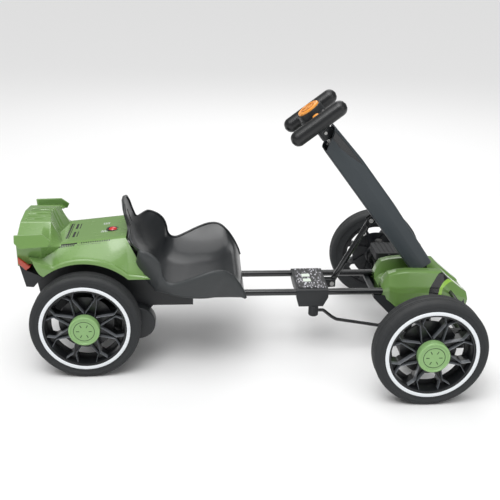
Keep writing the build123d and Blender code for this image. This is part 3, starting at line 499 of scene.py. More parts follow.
def block_group() -> bpy.types.NodeTree:
    """Printed block mask: one inside a box in X and |Y|, slanted by Skew and cut into bars of a Pitch.

    Returns:
        The group, made the first time it is asked for.
    """
    if "PrintedBlock" in bpy.data.node_groups:
        return bpy.data.node_groups["PrintedBlock"]
    inputs = {
        "Low X": 0.0,
        "High X": 1.0,
        "Low Y": 0.0,
        "High Y": 1.0,
        "Skew": 0.0,
        "Pitch": 1.0,
        "Share": 1.1,
    }
    group, start, end = new_group("PrintedBlock", inputs, {"Mask": "NodeSocketFloat"})
    split = group.nodes.new("ShaderNodeSeparateXYZ")
    group.links.new(group.nodes.new("ShaderNodeTexCoord").outputs["Object"], split.inputs[0])
    y = maths(group, "ABSOLUTE", split.outputs["Y"])
    x = maths(group, "ADD", split.outputs["X"], maths(group, "MULTIPLY", y, start.outputs["Skew"]))
    mask = maths(group, "GREATER_THAN", x, start.outputs["Low X"])
    for operation, value, limit in (
        ("LESS_THAN", x, "High X"),
        ("GREATER_THAN", y, "Low Y"),
        ("LESS_THAN", y, "High Y"),
    ):
        mask = maths(group, "MULTIPLY", mask, maths(group, operation, value, start.outputs[limit]))
    phase = maths(group, "FRACT", maths(group, "DIVIDE", x, start.outputs["Pitch"]))
    mask = maths(group, "MULTIPLY", mask, maths(group, "LESS_THAN", phase, start.outputs["Share"]))
    group.links.new(mask, end.inputs["Mask"])
    return group


DUST_SHARE = 0.25  # scales every finish's dust
DUST_COLOUR = (0.42, 0.41, 0.38, 1.0)
COAT_ROUGH = 0.12
RUB_SHARE = 0.22  # roughness added where the surface is rubbed
MOTTLE_SPREAD = 0.16  # range of roughness across the mottling


@dataclass(frozen=True)
class Block:
    """One printed block: its box in X and |Y|, slant, bar pitch and colour."""

    low_x: float
    high_x: float
    low_y: float
    high_y: float
    colour: tuple
    skew: float = 0.0
    pitch: float = 1.0
    share: float = 1.1  # part of the pitch that is printed; above 1 is solid


@dataclass(frozen=True)
class Finish:
    """A moulded, painted or metal finish, worked out from numbers and built once."""

    name: str
    slot: str
    colour: tuple
    rough: float
    metal: float = 0.0
    coat: float = 0.0
    fine: float = 900.0
    depth: float = 0.00006
    mottle: float = 0.10
    dust: float = 0.10
    blocks: tuple = ()
    chips: bool = False

    def material(self) -> bpy.types.Material:
        """The finish as a material.

        Returns:
            The material, made the first time it is asked for.
        """
        if self.name in bpy.data.materials:
            return bpy.data.materials[self.name]
        made = bpy.data.materials.new(self.name)
        made.use_nodes = True
        tree = made.node_tree
        shader = tree.nodes["Principled BSDF"]
        shader.inputs["Metallic"].default_value = self.metal
        shader.inputs["Coat Weight"].default_value = self.coat
        shader.inputs["Coat Roughness"].default_value = COAT_ROUGH
        grain = tree.nodes.new("ShaderNodeGroup")
        grain.node_tree = grain_group()
        grain.inputs["Fine"].default_value = self.fine
        dust = tree.nodes.new("ShaderNodeGroup")
        dust.node_tree = dust_group()
        dust.inputs["Amount"].default_value = self.dust * DUST_SHARE
        if self.chips:
            base = self._chips(tree)
        else:
            dark, light = self._tint(1 - self.mottle), self._tint(1 + self.mottle)
            base = self._blend(tree, grain.outputs["Mottle"], dark, light)
        for block in self.blocks:
            base = self._print(tree, base, block)
        base = self._blend(tree, dust.outputs["Mask"], base, DUST_COLOUR)
        tree.links.new(base, shader.inputs["Base Color"])
        worn = maths(tree, "MULTIPLY", grain.outputs["Rub"], RUB_SHARE)
        spread = maths(tree, "MULTIPLY", grain.outputs["Mottle"], MOTTLE_SPREAD)
        rough = maths(tree, "ADD", maths(tree, "ADD", spread, worn), self.rough - MOTTLE_SPREAD / 2, True)
        tree.links.new(rough, shader.inputs["Roughness"])
        bump = tree.nodes.new("ShaderNodeBump")
        bump.inputs["Distance"].default_value = self.depth
        bump.inputs["Strength"].default_value = 1.0
        tree.links.new(grain.outputs["Height"], bump.inputs["Height"])
        tree.links.new(bump.outputs[0], shader.inputs["Normal"])
        return made

    def _tint(self, share: float) -> tuple:
        """The base colour lightened or darkened by a share."""
        return tuple(min(1.0, c * share) for c in self.colour) + (1.0,)

    def _blend(
        self,
        tree: bpy.types.NodeTree,
        factor: bpy.types.NodeSocket,
        first: Tone,
        second: Tone,
    ) -> bpy.types.NodeSocket:
        """Mix of two colours by a factor.

        Args:
            tree: The material's node tree.
            factor: Socket that says how much of the second colour shows.
            first: Socket or four numbers.
            second: Socket or four numbers.

        Returns:
            The mixed colour's socket.
        """
        mix = tree.nodes.new("ShaderNodeMix")
        mix.data_type = "RGBA"
        tree.links.new(factor, mix.inputs[0])
        for socket, value in ((mix.inputs[6], first), (mix.inputs[7], second)):
            if isinstance(value, bpy.types.NodeSocket):
                tree.links.new(value, socket)
            else:
                socket.default_value = value
        return mix.outputs[2]

    def _print(self, tree: bpy.types.NodeTree, base: Tone, block: Block) -> bpy.types.NodeSocket:
        """Lays one printed block over the colour so far.

        Args:
            tree: The material's node tree.
            base: Colour so far.
            block: Block to lay.

        Returns:
            The new colour's socket.
        """
        node = tree.nodes.new("ShaderNodeGroup")
        node.node_tree = block_group()
        box = (block.low_x, block.high_x, block.low_y, block.high_y)
        for socket, value in zip(node.inputs, (*box, block.skew, block.pitch, block.share)):
            socket.default_value = value
        return self._blend(tree, node.outputs["Mask"], base, (*block.colour, 1.0))

    def _chips(self, tree: bpy.types.NodeTree) -> bpy.types.NodeSocket:
        """Broken print of short dark, grey and white bars: cells of a stretched square Voronoi, by value.

        Args:
            tree: The material's node tree.

        Returns:
            The print's colour socket.
        """
        stretch = tree.nodes.new("ShaderNodeMapping")
        stretch.inputs["Scale"].default_value = (330.0, 140.0, 1.0)
        tree.links.new(tree.nodes.new("ShaderNodeTexCoord").outputs["Object"], stretch.inputs["Vector"])
        cells = tree.nodes.new("ShaderNodeTexVoronoi")
        cells.distance = "CHEBYCHEV"
        cells.inputs["Scale"].default_value = 1.0
        cells.inputs["Randomness"].default_value = 0.7
        tree.links.new(stretch.outputs[0], cells.inputs["Vector"])
        ramp = tree.nodes.new("ShaderNodeValToRGB")
        ramp.color_ramp.interpolation = "CONSTANT"
        ramp.color_ramp.elements.remove(ramp.color_ramp.elements[1])
        for at, tone in ((0.0, 0.010), (0.50, 0.035), (0.62, 0.16), (0.74, 0.55)):
            stop = ramp.color_ramp.elements[0] if at == 0.0 else ramp.color_ramp.elements.new(at)
            stop.color = (tone, tone, tone * 1.08, 1.0)
        tree.links.new(cells.outputs["Color"], ramp.inputs[0])
        return ramp.outputs[0]


BLACK = (0.004, 0.0045, 0.005)
BRIGHT_GREEN = (0.30, 0.56, 0.07)
PALE_GREY = (0.6, 0.65, 0.62)
PALE_GREEN = (0.72, 0.80, 0.70)
DECK_PRINT = (
    Block(REAR_X - 0.050, REAR_X - 0.040, 0.0, 0.052, BLACK, 0.0, 0.006, 0.7),
    Block(REAR_X - 0.036, REAR_X - 0.022, 0.010, 0.046, BLACK, 0.0, 0.0095, 0.55),
    Block(REAR_X + 0.030, REAR_X + 0.046, 0.020, 0.034, PALE_GREY, 0.0, 0.004, 0.5),
    Block(REAR_X - 0.062, REAR_X - 0.008, 0.0865, 0.0915, BLACK, 0.15, 0.0040, 0.62),
    Block(REAR_X - 0.040, REAR_X - 0.004, 0.0825, 0.0865, BLACK, 0.15),
    Block(REAR_X + 0.002, REAR_X + 0.070, 0.0830, 0.0862, BLACK, 0.15, 0.0052, 0.6),
    Block(REAR_X - 0.002, REAR_X + 0.050, 0.0890, 0.0898, BLACK, 0.15),
)
NOSE_PRINT = (
    Block(FRONT_X + 0.172, FRONT_X + 0.196, 0.0530, 0.0745, BLACK, 1.6),
    Block(FRONT_X + 0.196, FRONT_X + 0.204, 0.0460, 0.0745, BRIGHT_GREEN, 1.6),
)
PLATE_PRINT = (Block(FRONT_X - 0.243, FRONT_X - 0.224, 0.006, 0.024, PALE_GREEN),)
GREEN = (0.165, 0.300, 0.085)
FOAM = Finish(
    "foam tyre", "tyre_foam", (0.018, 0.020, 0.022), 0.72, fine=1400.0, depth=0.00018, mottle=0.18, dust=0.3
)
WHEEL = Finish("wheel moulding", "wheel_grey", (0.007, 0.008, 0.010), 0.34, coat=0.15, dust=0.08)
# Paler grey copy of the wheel moulding's black: a painted highlight along the edges of the spoke ribs.
RIB_PAINTED_HIGHLIGHT = Finish("wheel rib", "wheel_grey", (0.15, 0.16, 0.175), 0.32, coat=0.3, dust=0.1)
WHITE = Finish("white ring", "ring_white", (0.80, 0.83, 0.86), 0.32, coat=0.3, mottle=0.02, dust=0.05)
CAP = Finish("cap green", "cap_green", (0.245, 0.430, 0.165), 0.38, coat=0.2, mottle=0.05)
CAP_MARK = Finish("cap mark", "cap_green", (0.03, 0.06, 0.02), 0.5)
BODY = Finish("body green", "body_green", GREEN, 0.26, coat=0.45, mottle=0.05, blocks=DECK_PRINT)
SPOILER = Finish("spoiler green", "body_green", GREEN, 0.28, coat=0.4, mottle=0.05)
NOSE = Finish(
    "nose green", "body_green", (0.135, 0.250, 0.065), 0.20, coat=0.6, mottle=0.06, blocks=NOSE_PRINT
)
SLATE = Finish("column slate", "column_slate", (0.036, 0.046, 0.053), 0.42, mottle=0.08, depth=0.0001)
TRIM = Finish("black trim", "trim_black", (0.013, 0.015, 0.017), 0.45, mottle=0.15, depth=0.0001)
GLOSS = Finish("gloss panel", "gloss_black", (0.012, 0.014, 0.016), 0.2, coat=0.5)
PAINT = Finish(
    "frame paint", "frame_black", (0.011, 0.012, 0.013), 0.20, metal=0.25, coat=0.6, mottle=0.2, dust=0.06
)
STEEL = Finish("plain steel", "axle_steel", (0.42, 0.42, 0.41), 0.35, metal=1.0, mottle=0.15)
ORANGE = Finish("orange plastic", "orange_plastic", (0.93, 0.36, 0.045), 0.3, coat=0.4, mottle=0.05)
LENS = Finish(
    "tail lens", "lens_red", (0.42, 0.036, 0.010), 0.16, coat=0.9, fine=420.0, depth=0.0004, mottle=0.35
)
RED = Finish("red button", "button_red", (0.62, 0.018, 0.018), 0.2, coat=0.7, mottle=0.03)
PEDAL = Finish("pedal rubber", "pedal_black", (0.018, 0.019, 0.021), 0.6, fine=1200.0, depth=0.00015)
SEAT = Finish("seat black", "seat_black", (0.012, 0.014, 0.016), 0.34, coat=0.12, mottle=0.12, dust=0.08)
# Paler copy of the seat's black: painted light on the lit outer side of the one seat moulding.
SKIRT_PAINTED_LIGHT = Finish("seat skirt", "seat_black", (0.034, 0.038, 0.040), 0.5, mottle=0.12, dust=0.1)
GRIP = Finish(
    "grip black", "trim_black", (0.010, 0.011, 0.012), 0.32, fine=700.0, depth=0.00012, mottle=0.15, dust=0.05
)
ORANGE_MARK = Finish("horn mark", "orange_plastic", (0.35, 0.10, 0.01), 0.4)
PLATE = Finish(
    "console print", "console_print", (0.5, 0.52, 0.52), 0.4, dust=0.03, blocks=PLATE_PRINT, chips=True
)


# ------------------------------------------------------------------ wheels
@dataclass
class Wheel:
    """Foam-tyred wheel: tyre, spoked moulding, reflective ring and hub cap."""

    end: str
    side: Side
    x: float
    half_track: float
    radius: float = 0.125
    half_width: float = 0.0235
    bead: float = 0.094
    hub: float = 0.029
    waist: float = 0.073
    spokes: int = 8
    floor_depth: float = 0.024
    cap_radius: float = 0.035
    cap_proud: float = 0.0135

    @property
    def out(self) -> int:
        """Sign of the outward direction along Y."""
        return self.side.value

    @property
    def centre(self) -> tuple:
        """Middle of the wheel."""
        return (self.x, self.out * self.half_track, AXLE_Z)

    @property
    def body(self) -> str:
        """Name of the body that the wheel turns with."""
        return f"{self.end}_wheel_{self.side.name.lower()}"

    def node(self, part: str) -> str:
        """Full name of one of the wheel's CAD parts."""
        return f"{self.end}_{part}_{self.side.name.lower()}"

    def build(self) -> None:
        """Builds every piece of the wheel."""
        self.tyre()
        self.moulding()
        self.ring()
        self.cap()

    def tyre(self) -> None:
        """Tyre section: flat bead, domed sidewall with a raised line, rounded shoulder, grooved tread."""
        r, b, w = self.radius, self.bead, self.half_width
        t = np.linspace(0, np.pi / 2, 9)
        shoulder = np.stack([r - 0.009 + 0.009 * np.cos(t), w - 0.0095 + 0.009 * np.sin(t)], axis=1)
        raised = [(r - 0.0105, w - 0.0002), (r - 0.0112, w), (r - 0.0118, w - 0.0006)]
        side_wall = np.array([*raised, (r - 0.0205, w - 0.0006), (b + 0.0005, w - 0.0002), (b, w - 0.001)])
        groove = np.array([(0, 0), (-0.0009, 0.0003), (-0.0009, 0.0012), (0, 0.0015)])
        tread = np.vstack([groove + (r, c) for c in (0.0045, 0.0100)])
        half = np.vstack([tread, shoulder, side_wall])
        profile = np.vstack([half, (half * [1, -1])[::-1]])
        node = self.node("tyre")
        surface = lathe(profile, self.centre, self.out, 160)
        make(node + "_foam", surface, self.body, FOAM, (node,), shade=Shade.SOFT)

    def spoke_edges(self, depth_hub: float, depth_rim: float) -> list:
        """Both edges of each spoke as paths: wide at the hub, narrow at the waist, widest at the rim.

        Args:
            depth_hub: Distance outwards along the axle at the hub.
            depth_rim: Distance outwards along the axle at the rim.

        Returns:
            Two paths for each spoke, in turn.
        """
        r = np.array([self.hub - 0.001, self.waist, self.bead - 0.0045])
        half = np.array([0.0122, 0.0024, 0.0150])
        rise = np.array([depth_hub, depth_hub + 0.35 * (depth_rim - depth_hub), depth_rim])
        base = resample(np.stack([r, half, rise], axis=1), 25)
        paths = []
        for k in range(self.spokes):
            angle = 2 * np.pi * k / self.spokes + np.pi / 8
            for sign in (-1, 1):
                a, b = base[:, 0], base[:, 1] * sign
                x = self.x + a * np.cos(angle) - b * np.sin(angle)
                z = AXLE_Z + a * np.sin(angle) + b * np.cos(angle)
                paths.append(np.stack([x, self.centre[1] + self.out * base[:, 2], z], axis=1))
        return paths

    def moulding(self) -> None:
        """Barrel, hub and hourglass spokes: each spoke is a floor plate between two raised ribs, coloured
        paler grey than the moulding as a painted highlight on the spoke edges.
        """
        bead, w = self.bead - 0.0001, self.half_width
        barrel_front = [(bead, w - 0.002), (bead - 0.0015, w - 0.0008), (bead - 0.004, w - 0.0015)]
        barrel_back = [(bead - 0.005, -w + 0.004), (bead - 0.003, -w + 0.002), (bead, -w + 0.002)]
        barrel = np.array([*barrel_front, (bead - 0.0055, w - 0.006), *barrel_back])
        hub_front = [(0.001, w - 0.0055), (self.hub + 0.004, w - 0.0055), (self.hub + 0.006, 0.010)]
        hub_back = [(self.hub, -w + 0.004), (self.hub - 0.004, -w), (0.001, -w)]
        hub = np.array([*hub_front, (self.hub + 0.004, -0.004), *hub_back])
        inner_web = np.array([(self.hub, -0.010), (0.063, -0.011), (0.064, -0.014), (self.hub, -0.015)])
        foot = bead - 0.004
        outer_web = np.array([(0.081, -0.011), (foot, -0.010), (foot, -0.015), (0.080, -0.014)])
        surface = lathe(barrel, self.centre, self.out)
        for profile in (hub, inner_web, outer_web):
            surface = surface + lathe(profile, self.centre, self.out, 96)
        edges = self.spoke_edges(0.004, 0.006)
        drop = -self.out * self.floor_depth * ACROSS
        for low, high in zip(edges[::2], edges[1::2]):
            surface = surface + tube(np.stack([low, high, high + drop, low + drop], axis=1))
        node = self.node("rim")
        make(node + "_moulding", surface, self.body, WHEEL, (node,))
        # The ribs are the moulding's own plastic painted paler grey: a painted highlight along the spoke
        # edges.
        ribs = Surface.empty()
        sunk = self.out * 0.0050 * ACROSS
        for path in self.spoke_edges(0.0125, 0.0185):
            ribs = ribs + bar(path - sunk, 0.0009, 0.0065, ACROSS, 3.0, 12)
        make(node + "_ribs", ribs, self.body, RIB_PAINTED_HIGHLIGHT, shade=Shade.SOFT)

    def ring(self) -> None:
        """Reflective ring with eased corners on the tyre's face."""
        w = self.half_width
        inner = [(0.0944, w), (0.0944, w + 0.0009), (0.0950, w + 0.0014)]
        outer = [(0.1016, w + 0.0014), (0.1023, w + 0.0008), (0.1023, w)]
        profile = np.array([*inner, (0.0983, w + 0.0015), *outer])
        node = self.node("reflector_ring")
        surface = lathe(profile, self.centre, self.out, 160)
        make(node + "_band", surface, self.body, WHITE, (node,), shade=Shade.SOFT)

    def cap(self) -> None:
        """Cap section: straight wall, rounded border, shallow dish; the mark is a hoop and six bars."""
        top, r = self.half_width + self.cap_proud, self.cap_radius
        t = np.linspace(0, np.pi / 2, 7)
        rim = np.stack([r - 0.003 + 0.003 * np.cos(t), top - 0.003 + 0.003 * np.sin(t)], axis=1)
        lip = [(r - 0.0045, top), (r - 0.0055, top - 0.0013)]
        dish = np.array([*lip, (0.015, top - 0.0012), (0.0004, top - 0.0010)])
        profile = np.vstack([[(0.0004, top - 0.019), (r - 0.001, top - 0.019)], rim, dish])
        node = self.node("hub_cap")
        make(node + "_cover", lathe(profile, self.centre, self.out, 128), self.body, CAP, (node,))
        face = top - 0.0011
        hoop = np.stack([0.0232 + 0.0007 * np.cos(4 * t), face + 0.0004 * np.sin(4 * t)], axis=1)
        mark = lathe(hoop[:-1], self.centre, self.out, 96)
        reach = np.linspace(0.0105, 0.0175, 4)
        level = np.full(len(reach), self.centre[1] + self.out * face)
        for angle in np.arange(6) * np.pi / 3:
            path = np.stack([self.x + reach * np.cos(angle), level, AXLE_Z + reach * np.sin(angle)], axis=1)
            mark = mark + bar(path, 0.0009, 0.0004, ACROSS, 4.0, 8)
        make(node + "_mark", mark, self.body, CAP_MARK)


# ------------------------------------------------------------------ rear end
def from_axle(points: np.ndarray, axle_x: float) -> np.ndarray:
    """Points in metres in the kart's frame, from millimetres with x measured from an axle.

    Args:
        points: Array whose last axis is (x, y, z) in millimetres.
        axle_x: The axle's place in metres.

    Returns:
        The points, in an array of the same shape.
    """
    return points / MM + [axle_x, 0, 0]


def plank(side_view: list, half_width: float) -> Surface:
    """Side-view outline carried straight across the rear body.

    Args:
        side_view: Corners (x from the rear axle, z) in millimetres.
        half_width: Half of its width in metres.

    Returns:
        The closed prism.
    """
    corners = np.array(side_view, float)
    outline = np.stack([corners[:, 0], np.zeros(len(corners)), corners[:, 1]], axis=1)
    return prism(from_axle(outline, REAR_X), -half_width * ACROSS, half_width * ACROSS)


@dataclass
class RearBody:
    """Green rear moulding over the wheels, with its spoiler, lamps, bumper and deck button."""

    arch: float = 145.0
    axle_height: float = 125.0
    front_hem: float = 231.0
    tail: float = -142.0
    crown: float = 344.0
    groove_depth: float = 5.5
    groove_half: float = 3.6
    winglet_foot: float = 309.0

    def build(self) -> None:
        """Builds every piece of the rear body."""
        self.shell()
        self.hood()
        self.winglets()
        self.small_parts()

    def deck(self, x: np.ndarray) -> np.ndarray:
        """Deck height at x, in millimetres: a straight line rising forwards."""
        return 287.0 + (x - self.tail) * 25.0 / 234.5

    def arch_height(self, x: np.ndarray) -> np.ndarray:
        """Lower edge of the flank: circle z = axle + sqrt(arch^2 - x^2) over the wheel, level ahead of it."""
        circle = self.axle_height + np.sqrt(np.maximum(self.arch**2 - x**2, 0.0))
        return np.maximum(circle, self.front_hem)

    def shell(self) -> None:
        """Skin P(u, v): u runs tail to nose, v from the centre line out over the crease to the arch."""
        knots = np.array([0.0, 0.34, 0.36, 0.38, 0.80, 0.84, 0.90, 1.0])
        deck_v = np.linspace(0, 0.34, 12)
        flank_v = np.linspace(0.38, 0.80, 16)
        hem_v = np.linspace(0.84, 1.0, 6)
        v = np.unique(np.r_[deck_v, knots, flank_v, hem_v])
        u = np.linspace(0, 1, 90)[:, None]
        y = np.interp(v, knots, [0, 76.5, 79.5, 82.5, 125.0, 129.6, 131.6, 132.4])[None]
        tail = np.interp(v, [0, 0.38, 0.80, 1.0], [-142, -142, -118, -88])[None]
        nose = np.interp(v, [0, 0.38, 0.84, 1.0], [92.5, 93.5, 141, 151.5])[None]
        x = tail + (nose - tail) * u
        low = self.arch_height(x)
        band = low + np.interp(x, [-90, -40, 60, 100, 152], [5.0, 8.0, 9.0, 8.0, 3.0])
        lip = np.maximum(band, np.interp(x, [-142, -73, -45, 160], [288, 262, 258, 233]))
        top = self.deck(x)
        flank = np.interp(v, [0.38, 0.80], [0, 1])[None]
        slope = (top - 1.6) + (lip + 1.5 - top + 1.6) * flank
        step = np.where(v[None] <= 0.38, top - (v[None] - 0.34) * 40, slope)
        z = np.where(v[None] <= 0.34, top, step)
        z = np.where(v[None] >= 0.84, lip + (low - lip) * np.clip((v[None] - 0.84) / 0.16, 0, 1), z)
        half = np.stack([x, np.broadcast_to(y, x.shape), z], axis=2)
        points = from_axle(np.concatenate([half[:, ::-1] * OTHER_SIDE, half[:, 1:]], axis=1), REAR_X)
        surface = grid(points[:, ::-1])
        rounding = Edge(0.0008, 2, 24.0)
        make("rear_body_skin", surface, "carriage", BODY, ("rear_body",), wall=0.003, edge=rounding)
        end_wall = plank([(88, 309), (92.3, 309), (97, 262), (93, 262)], 0.078)
        make("deck_end_wall", end_wall, "carriage", SPOILER, edge=Edge(0.0015))
        tail_panel = plank([(-141.5, 284), (-139, 286), (-118, 262), (-122, 258), (-141.5, 266)], 0.086)
        make("tail_panel", tail_panel, "carriage", SPOILER, edge=Edge(0.002))

    def hood(self) -> None:
        """Hood as a height over (x, y): the lower of the crowned top and the front slope, cut by grooves."""
        x = np.linspace(-144.5, -46.0, 74)[:, None]
        reach = np.interp(x, [-145, -92, -78, -46], [121, 117, 104, 83])
        y = np.linspace(-1.0, 1.0, 281)[None] * reach
        a = np.abs(y)
        deck = self.deck(x)
        hem = np.interp(x, [-145, -92, -78, -46], [318, 317, 303, 295])
        ridge = 61
        far = np.clip((a - ridge) / (reach - ridge), 0, 1)
        crowned = np.interp(a, [0, 55, ridge], [352, 345.5, self.crown])
        top = np.where(a < ridge, crowned, self.crown + (hem - self.crown) * far)
        foot = np.interp(a, [0, 60, 124], [-66, -52, -46])
        brow = np.interp(a, [0, 60, 124], [-86, -76, -70])
        t = np.clip((x - brow) / (foot - brow), 0, 1)
        z = top + (deck - 1 - top) * t
        grooves = np.minimum.reduce([np.abs(y - c) for c in (-46, -32, -18, -4, 10, 24)])
        cut = np.clip(1.0 - grooves / self.groove_half, 0, 1) ** 0.5
        run = np.clip((x + 136) / 4, 0, 1) * np.clip((foot - 3 - x) / 3, 0, 1)
        z = z - self.groove_depth * cut * run
        z = np.where(x > foot, deck - 2, z)
        raised = np.clip(1 - np.abs(a - 60) / 2.2, 0, 1) * 1.2
        z = z + raised * (x < foot)
        points = np.stack([x + 0 * y, y + 0 * x, z], axis=2)
        skirt_foot = np.interp(x, [-145, -92, -46], [262, 270, 296])[:, :, None]
        skirt = points[:, [0]] * [1, 1, 0] + [0, 0, 1] * skirt_foot
        points = np.concatenate([skirt, points, skirt * OTHER_SIDE], axis=1)
        back = points[[0]].copy()
        back[:, :, 2] = 285.0
        points = from_axle(np.concatenate([back, points], axis=0), REAR_X)
        make("spoiler_hood", grid(points), "carriage", SPOILER, ("spoiler",), wall=0.0022)

    def winglets(self) -> None:
        """Each winglet is a swept plate: a six-sided outline in side view that leans inwards as it rises."""
        upper = [(-145, 339), (-83, 341), (-65, 326)]
        lower = [(-71, 314), (-133, 309.5), (-145, 322)]
        outline = np.array(upper + lower, float)
        bridge = np.array([(-143, 325), (-82, 325), (-74, 319), (-136, 315)], float)
        lean = 141.0 - (outline[:, 1] - self.winglet_foot) * 0.30
        for side in Side:
            inner = np.stack([outline[:, 0], side.value * (lean - 3.2), outline[:, 1] - 1.0], axis=1)
            outer = np.stack([outline[:, 0], side.value * (lean + 1.2), outline[:, 1]], axis=1)
            root = np.stack([bridge[:, 0], np.full(4, side.value * 112.0), bridge[:, 1]], axis=1)
            tip = np.stack([bridge[:, 0], np.full(4, side.value * 138.0), bridge[:, 1] - 2], axis=1)
            plate = tube(from_axle(np.stack([inner, outer]), REAR_X))
            plate = plate + tube(from_axle(np.stack([root, tip]), REAR_X))
            make(f"winglet_{side.name.lower()}", plate, "carriage", SPOILER, edge=Edge(0.0014))

    def small_parts(self) -> None:
        """Lamps, bumper, and the button in its black cup: a quarter ellipse turned about an upright axis."""
        refine("tail_lamps", "carriage", LENS, Edge(0.002))
        refine("rear_bumper", "carriage", TRIM, Edge(0.003))
        base = np.array([REAR_X + 0.058, -0.018, 0.3085])
        t = np.linspace(0, np.pi / 2, 10)
        dome = np.stack([0.0108 * np.cos(t), 0.001 + 0.0068 * np.sin(t)], axis=1)
        button = spun(np.vstack([[(0.0108, -0.004)], dome]), base, UP)
        make("deck_button_dome", button, "deck_button", RED, ("deck_button",), shade=Shade.SOFT)
        cup = np.array([(0.0112, 0.001), (0.0114, 0.0036), (0.0150, 0.0036), (0.0156, 0.0010)])
        make("deck_button_cup", spun(cup, base + 0.0005 * UP, UP), "carriage", TRIM)


# ------------------------------------------------------------------ seat
@dataclass
class Seat:
    """Bucket seat: dished skin, outer skirt coloured paler than the skin as painted light on its lit outer
    side, and rolled edge.

    The centre line holds (x, z) and the rim (x, y, z), in millimetres with x from the rear axle.
    """

    rows: int = 150
    columns: int = 97
    centre: tuple = (
        *((84, 381), (86, 364), (93, 337), (101, 313), (110, 292), (126, 262), (144, 234), (158, 214)),
        *((172, 201), (186, 194), (204, 190), (228, 188), (257, 190), (288, 194), (312, 200), (331, 208)),
        *((345, 212), (356, 202), (363, 184)),
    )
    rim: tuple = (
        *((88, 34, 376), (92, 53, 358), (99, 60, 332), (106, 92, 306), (127, 137, 304), (149.5, 143, 296)),
        *((165.5, 145, 282), (173.5, 145.5, 264), (177, 146.5, 244), (186, 149, 231), (202, 152, 228)),
        *((227, 158, 237), (256.5, 163, 250), (286.5, 163, 260.5), (311, 158, 260), (331, 148, 246)),
        *((347, 142, 224), (358, 138, 202), (364, 134, 184)),
    )
    skirt_start: float = 4 / 18  # share of the rim that lies above the skirt
    slot_low: float = 0.316
    slot_high: float = 0.352
    slot_y: float = 0.017
    slot_half: float = 0.0056
    roll_half: tuple = (0.0026, 0.0022)

    def build(self) -> None:
        """Dished skin P(u, v): u runs down the centre line, v across, up to the rim by a power of |v|."""
        line = eased(np.array(self.centre, float), self.rows)
        rim = eased(np.array(self.rim, float), self.rows)
        t = np.linspace(-1, 1, self.columns)[None]
        a = np.abs(t)
        y = np.sign(t) * rim[:, [1]] * a**0.92
        lift = np.clip((a - 0.30) / 0.70, 0, 1) ** 2.3
        fore = np.clip((a - 0.25) / 0.75, 0, 1) ** 1.8
        x = line[:, [0]] + (rim[:, [0]] - line[:, [0]]) * fore
        z = line[:, [1]] + (rim[:, [2]] - line[:, [1]]) * lift
        surface = grid(from_axle(np.stack([x, y, z], axis=2), REAR_X))
        across, height = np.abs(surface.points[:, 1]), surface.points[:, 2]
        in_slot = (height > self.slot_low) & (height < self.slot_high)
        in_slot &= np.abs(across - self.slot_y) < self.slot_half
        gone = set(np.nonzero(in_slot)[0].tolist())
        surface.faces = [f for f in surface.faces if not all(i in gone for i in f)]
        rounding = Edge(0.0012, 2, 50.0)
        make("seat_skin", surface, "carriage", SEAT, ("seat_shell",), rounding, 0.004, Shade.SOFT)
        self.skirt(rim)
        self.roll(from_axle(rim, REAR_X))

    def skirt(self, rim: np.ndarray) -> None:
        """Outer skirt S(u, v): u runs along the rim, v from the rim out by a bulge and down to the base line.

        Args:
            rim: Points of the left rim in millimetres from the rear axle.
        """
        edge = rim[int(self.rows * self.skirt_start):]
        count = len(edge)
        base_x = np.interp(np.linspace(0, 1, count), [0, 0.12, 0.3, 0.45, 1], [118, 140, 160, 190, 360])
        base_z = np.interp(base_x, [118, 140, 160, 200, 360], [262, 226, 204, 197, 186])
        base_y = edge[:, 1] - np.interp(base_x, [118, 160, 200, 360], [30, 16, 12, 2])
        v = np.array([0.0, 0.02, 0.06, 0.15, 0.3, 0.5, 0.7, 0.85, 1.0])[None]
        x = edge[:, [0]] + (base_x[:, None] - edge[:, [0]]) * v
        z = edge[:, [2]] + (base_z[:, None] - edge[:, [2]]) * v**1.05
        bulge = 5.0 * np.sin(np.pi * v**0.5)
        y = edge[:, [1]] + (base_y[:, None] - edge[:, [1]]) * v**1.6 + bulge
        points = from_axle(np.stack([x, y, z], axis=2), REAR_X)
        # The skirt's paler black is painted light on the outer side of the same seat moulding.
        for side in Side:
            surface = grid(points * [1, side.value, 1])
            surface.faces = surface.faces if side is Side.RIGHT else [f[::-1] for f in surface.faces]
            make(f"seat_skirt_{side.name.lower()}", surface, "carriage", SKIRT_PAINTED_LIGHT, wall=0.003, shade=Shade.SOFT)

    def roll(self, lip: np.ndarray) -> None:
        """Rolled edge: a bar along each rim and one over the crown of the headrest, a parabola.

        Args:
            lip: Points of the left rim in metres.
        """
        rolled = Surface.empty()
        tilted = np.array([0.0, 0.3, 1.0])
        for side in Side:
            rolled = rolled + bar(lip * [1, side.value, 1], *self.roll_half, tilted, 2.0, 10)
        t = np.linspace(-1, 1, 15)
        crown = t[:, None] * lip[[0]] * ACROSS + lip[[0]] * [1, 0, 1]
        crown[:, 2] += 0.006 * (1 - t**2)
        crown[:, 0] -= 0.004 * (1 - t**2)
        rolled = rolled + bar(crown, *self.roll_half, np.array([1.0, 0.0, 0.0]), 2.0, 10)
        make("seat_rim", rolled, "carriage", SEAT, shade=Shade.SOFT)


